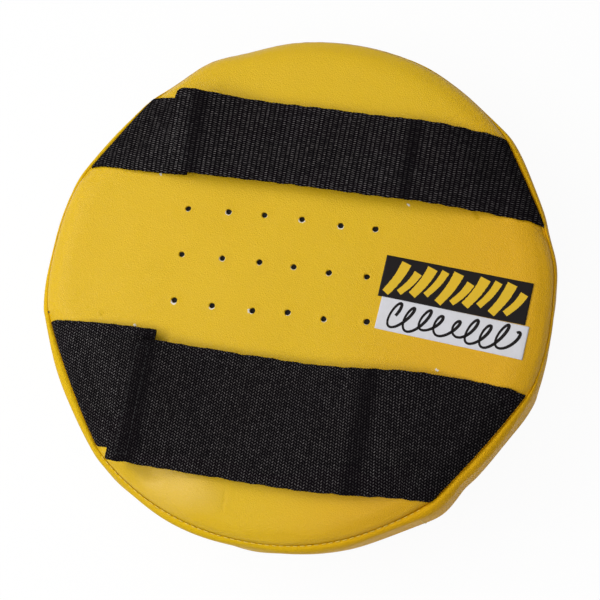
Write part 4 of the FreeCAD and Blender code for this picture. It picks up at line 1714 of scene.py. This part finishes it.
def make_flecks(name, spots):
    """Scraps of white backing cloth, torn out round the punched holes."""
    t = np.linspace(-0.5, 0.5, 12)
    parts = []
    for n, (x, y, turn, sweep, out, size) in enumerate(spots):
        draw = np.random.default_rng(900 + n)
        angle = turn + sweep * t
        ragged = size * (1 - (2 * np.abs(t)) ** 3) * draw.uniform(0.55, 1.15, 12)
        rings = []
        for share, lift in ((0, -0.06), (0.35, 0.16), (0.7, 0.13), (1, -0.04)):
            reach = out - 0.12 + share * ragged
            px, py = x + reach * np.cos(angle), y + reach * np.sin(angle)
            level = panel_shape(px, py) + vent_dish(stack(px, py))
            rings.append(stack(px, py, level + lift * draw.uniform(0.6, 1.3, 12)))
        points = np.stack(rings)
        parts.append((points, grid_faces(4, 12)[:, ::-1], points[..., :2]))
    return make_mark(name, parts, backing_finish("White backing"))


# middles of the small white scraps beside the straps
STRAP_MARKS = ((-94.1, 54.4), (-90.6, -41.5), (62, 54.9), (94.3, -40.6))


def make_thread_end():
    """Snipped end of the black thread, left in the seam above the forearm tab."""
    x, y = -149.0, -40.2
    start, end = np.array([[x - 0.5, y + 0.7, 0]]), np.array([[x + 0.5, y - 0.7, 0]])
    level = np.array([0, 0, panel_shape(x, y) + 0.35])
    row = stitch_row(start + level, end + level, np.array([[0, 0, 1.0]]), *THREAD_END)
    return make_stitches("thread_end", row, black_thread(), "pad")


# ------------------------------------------------------------------ stage


def make_camera(stage):
    """Camera at the stage's place, aimed and rolled as the stage says."""
    camera = new_object("camera", bpy.data.cameras.new("camera"))
    spot, aim = Vector(stage.camera_place), Vector(stage.camera_aim)
    back = (spot - aim).normalized()
    right = Vector((0, 1, 0)).cross(back).normalized()
    up = back.cross(right)
    turned = Matrix.Rotation(stage.camera_roll, 3, back)
    turned = turned @ Matrix((right, up, back)).transposed()
    camera.matrix_world = Matrix.Translation(spot) @ turned.to_4x4()
    camera.data.lens = stage.lens
    camera.data.sensor_width = 36
    camera.data.clip_start, camera.data.clip_end = 0.01, 20
    bpy.context.scene.camera = camera


def make_light(name, spot, power, size, depth=None):
    """Area light that faces the shield: round, or a rectangle where it has a depth."""
    data = bpy.data.lights.new(name, "AREA")
    data.energy, data.size = power, size
    data.shape = "DISK" if depth is None else "RECTANGLE"
    if depth is not None:
        data.size_y = depth
    light = new_object(name, data)
    light.location = spot
    light.rotation_mode = "QUATERNION"
    light.rotation_quaternion = (Vector(spot) - Vector((0, 0, 0.05))).to_track_quat("Z", "Y")


def seen_rays(tree):
    """1 for the rays that show a background: the camera's, and those in glossy and clear things."""
    rays = place(tree, "LightPath")
    seen = math_node(tree, "MAXIMUM", rays.outputs["Is Camera Ray"], rays.outputs["Is Glossy Ray"])
    return math_node(tree, "MAXIMUM", seen, rays.outputs["Is Transmission Ray"])


def seen_white(tree, surface, share):
    """Surface that is seen as nearly white while it lights the object as itself."""
    white = place(tree, "Emission", {"Color": (1, 1, 1, 1), "Strength": 1.0})
    seen = math_node(tree, "MULTIPLY", seen_rays(tree), share)
    return place(tree, "MixShader", {0: seen, 1: surface, 2: white.outputs[0]}).outputs[0]


@as_finish
def floor_finish(tree, shader):
    shader["Roughness"].default_value = 0.7
    shader["Specular IOR Level"].default_value = 0.3
    clouds = effect(tree, "Mottle", patch_size=0.5, contrast=0.3)["Mask"]
    tree.links.new(blend_colours(tree, clouds, (0.86,) * 3, (0.82,) * 3), shader["Base Color"])
    lit = tree.nodes["Principled BSDF"].outputs[0]
    tree.links.new(seen_white(tree, lit, 0.94), tree.nodes["Material Output"].inputs["Surface"])


def make_floor():
    side = np.linspace(-4.0, 4.0, 9)[:, None] / MM
    mesh = new_mesh("floor", stack(side, side.T, -0.3), grid_faces(9, 9)[:, ::-1])
    mesh.materials.append(floor_finish("Pale floor"))
    new_object("floor", mesh)


def make_world(stage):
    """Even, dim light all round; what is seen of it is a white backdrop under a dim ceiling."""
    world = bpy.data.worlds.new("studio")
    world.use_nodes = True
    tree = world.node_tree
    tree.nodes.clear()
    way = place(tree, "SeparateXYZ", {0: place(tree, "TexCoord").outputs["Generated"]}).outputs[2]
    backdrop = reread(tree, way, 0.3, 0.75, 1.0, stage.ceiling_level)
    extra = math_node(tree, "SUBTRACT", backdrop, stage.world_level)
    seen = math_node(tree, "MULTIPLY_ADD", seen_rays(tree), extra, stage.world_level)
    sky = place(tree, "Background", {"Color": (0.97, 0.98, 1.0, 1), "Strength": seen})
    leave = place(tree, "OutputWorld")
    tree.links.new(sky.outputs[0], leave.inputs["Surface"])
    bpy.context.scene.world = world


# ------------------------------------------------------------------ operators


class SHIELD_OT_back_panel(bpy.types.Operator):
    """Back panel of leatherette with its soft rim, creases and punched vent holes"""

    bl_idname = "shield.back_panel"
    bl_label = "Back Panel"
    bl_options = {"REGISTER", "UNDO"}

    def execute(self, context):
        make_back_panel()
        return {"FINISHED"}


class SHIELD_OT_side_band(bpy.types.Operator):
    """Band of leatherette round the edge, and the stitching where its ends meet"""

    bl_idname = "shield.side_band"
    bl_label = "Side Band"
    bl_options = {"REGISTER", "UNDO"}

    def execute(self, context):
        make_side_band()
        make_band_join()
        return {"FINISHED"}


class SHIELD_OT_strike_panel(bpy.types.Operator):
    """Strike panel on the other side"""

    bl_idname = "shield.strike_panel"
    bl_label = "Strike Panel"
    bl_options = {"REGISTER", "UNDO"}

    def execute(self, context):
        make_strike_panel()
        return {"FINISHED"}


class SHIELD_OT_seam_stitches(bpy.types.Operator):
    """Single stitches of both seams"""

    bl_idname = "shield.seam_stitches"
    bl_label = "Seam Stitches"
    bl_options = {"REGISTER", "UNDO"}

    def execute(self, context):
        make_seam_stitches("back_seam_stitches", "back_seam_thread", True)
        make_seam_stitches("strike_seam_stitches", "strike_seam_thread", False)
        return {"FINISHED"}


class SHIELD_OT_padding(bpy.types.Operator):
    """Board and foam blocks inside the cover"""

    bl_idname = "shield.padding"
    bl_label = "Padding"
    bl_options = {"REGISTER", "UNDO"}

    def execute(self, context):
        board_colours = (0.012, 0.011, 0.011), (0.004, 0.004, 0.004)
        board = foam_finish("Dark board foam", *board_colours, 0.0009, 0.25)
        foam = foam_finish("Pale foam", (0.66, 0.64, 0.58), (0.45, 0.42, 0.36), 0.0012, 0.25)
        # the board is dark itself; the vents' linings are darker and redder still as painted shade inside
        # the holes, closed dark at the bottom
        vent_shade_colours = (0.008, 0.003, 0.002), (0.003, 0.001, 0.001)
        make_vent_linings(foam_finish("Depth of the vents", *vent_shade_colours, 0.0009, 0.03))
        make_foam("stiffener_board", board, 9.0)
        for node in ("core_foam", "impact_foam", "face_foam"):
            make_foam(node, foam)
        return {"FINISHED"}


class SHIELD_OT_straps(bpy.types.Operator):
    """The two long straps and the two tabs they close on"""

    bl_idname = "shield.straps"
    bl_label = "Straps"
    bl_options = {"REGISTER", "UNDO"}

    def execute(self, context):
        for strap in (HAND_STRAP, FOREARM_STRAP, HAND_TAB, FOREARM_TAB):
            make_webbing(strap)
        return {"FINISHED"}


class SHIELD_OT_closures(bpy.types.Operator):
    """Hook and loop patches of the straps, with their stitching"""

    bl_idname = "shield.closures"
    bl_label = "Closures"
    bl_options = {"REGISTER", "UNDO"}

    def execute(self, context):
        hooks = tape_finish("Hook tape", (0.03, 0.03, 0.032), (0.008, 0.008, 0.008))
        loops = tape_finish("Loop tape", (0.035, 0.034, 0.035), (0.010, 0.010, 0.010))
        for strap, tab in ((HAND_STRAP, HAND_TAB), (FOREARM_STRAP, FOREARM_TAB)):
            make_patch(strap, f"{strap.cloth}_strap_hook", True, hooks)
            make_patch(tab, f"{tab.cloth}_tab_loop", False, loops)
            make_patch_stitches(strap, f"{strap.cloth}_hook_thread", True)
            make_patch_stitches(tab, f"{tab.cloth}_loop_thread", False)
        return {"FINISHED"}


class SHIELD_OT_label(bpy.types.Operator):
    """Label of two films with a plain mark on each"""

    bl_idname = "shield.label"
    bl_label = "Label"
    bl_options = {"REGISTER", "UNDO"}

    def execute(self, context):
        label = context.scene.shield_label
        dark = film_finish("Dark film", label.dark, (0.012, 0.010, 0.010))
        white = film_finish("White film", label.white, (0.52, 0.51, 0.50))
        bright = film_finish("Yellow print", label.bright, (0.60, 0.42, 0.04))
        make_film("label_upper", UPPER_FILM, dark)
        make_film("label_lower", LOWER_FILM, white)
        make_upper_mark(bright)
        make_lower_mark(dark)
        return {"FINISHED"}


class SHIELD_OT_marks(bpy.types.Operator):
    """White scraps of backing cloth at the vent holes and at the strap marks"""

    bl_idname = "shield.marks"
    bl_label = "Marks"
    bl_options = {"REGISTER", "UNDO"}

    def execute(self, context):
        reach = context.scene.shield_cover.vent_size / MM / 2
        torn = []
        for number, facing, sweep, size in TORN:
            torn.append((*VENTS[number], math.radians(facing), sweep, reach, 0.85 * size))
        make_flecks("vent_flecks", torn)
        make_flecks("strap_marks", [(*spot, 1.0, 3.6, 0.35, 1.6) for spot in STRAP_MARKS])
        make_thread_end()
        return {"FINISHED"}


class SHIELD_OT_stage(bpy.types.Operator):
    """Floor, lights, world and camera"""

    bl_idname = "shield.stage"
    bl_label = "Stage"
    bl_options = {"REGISTER", "UNDO"}

    def execute(self, context):
        stage = context.scene.shield_stage
        make_camera(stage)
        make_floor()
        make_world(stage)
        make_light("window", (-0.9, 0.0, 0.95), stage.window_power, 1.2, 0.45)
        make_light("skylight", (-0.3, 0.0, 1.5), stage.skylight_power, 3.4, 2.8)
        make_light("front", (0.1, -0.8, 1.3), stage.front_power, 0.8)
        context.scene.view_settings.view_transform = "Standard"
        return {"FINISHED"}


OPERATORS = (
    SHIELD_OT_stage,
    SHIELD_OT_back_panel,
    SHIELD_OT_side_band,
    SHIELD_OT_strike_panel,
    SHIELD_OT_seam_stitches,
    SHIELD_OT_padding,
    SHIELD_OT_straps,
    SHIELD_OT_closures,
    SHIELD_OT_label,
    SHIELD_OT_marks,
)
SETTINGS = {
    "shield_cover": ShieldCover,
    "shield_straps": ShieldStraps,
    "shield_label": ShieldLabel,
    "shield_stage": ShieldStage,
}


class SHIELD_PT_parts(bpy.types.Panel):
    """Lists the shield's pieces and settings"""

    bl_label = "Kick Shield"
    bl_space_type = "VIEW_3D"
    bl_region_type = "UI"
    bl_category = "Kick Shield"

    def draw(self, context):
        for operator in OPERATORS:
            self.layout.operator(operator.bl_idname)
        for name, group in SETTINGS.items():
            column = self.layout.box().column()
            for field in group.__annotations__:
                column.prop(getattr(context.scene, name), field)


def register():
    for group in SETTINGS.values():
        bpy.utils.register_class(group)
    for name, group in SETTINGS.items():
        setattr(bpy.types.Scene, name, bpy.props.PointerProperty(type=group))
    for operator in OPERATORS:
        bpy.utils.register_class(operator)
    bpy.utils.register_class(SHIELD_PT_parts)


def unregister():
    bpy.utils.unregister_class(SHIELD_PT_parts)
    for operator in reversed(OPERATORS):
        bpy.utils.unregister_class(operator)
    for name in SETTINGS:
        delattr(bpy.types.Scene, name)
    for group in SETTINGS.values():
        bpy.utils.unregister_class(group)


def main():
    register()
    for operator in OPERATORS:
        group, name = operator.bl_idname.split(".")
        getattr(getattr(bpy.ops, group), name)()


if __name__ == "__main__":
    main()
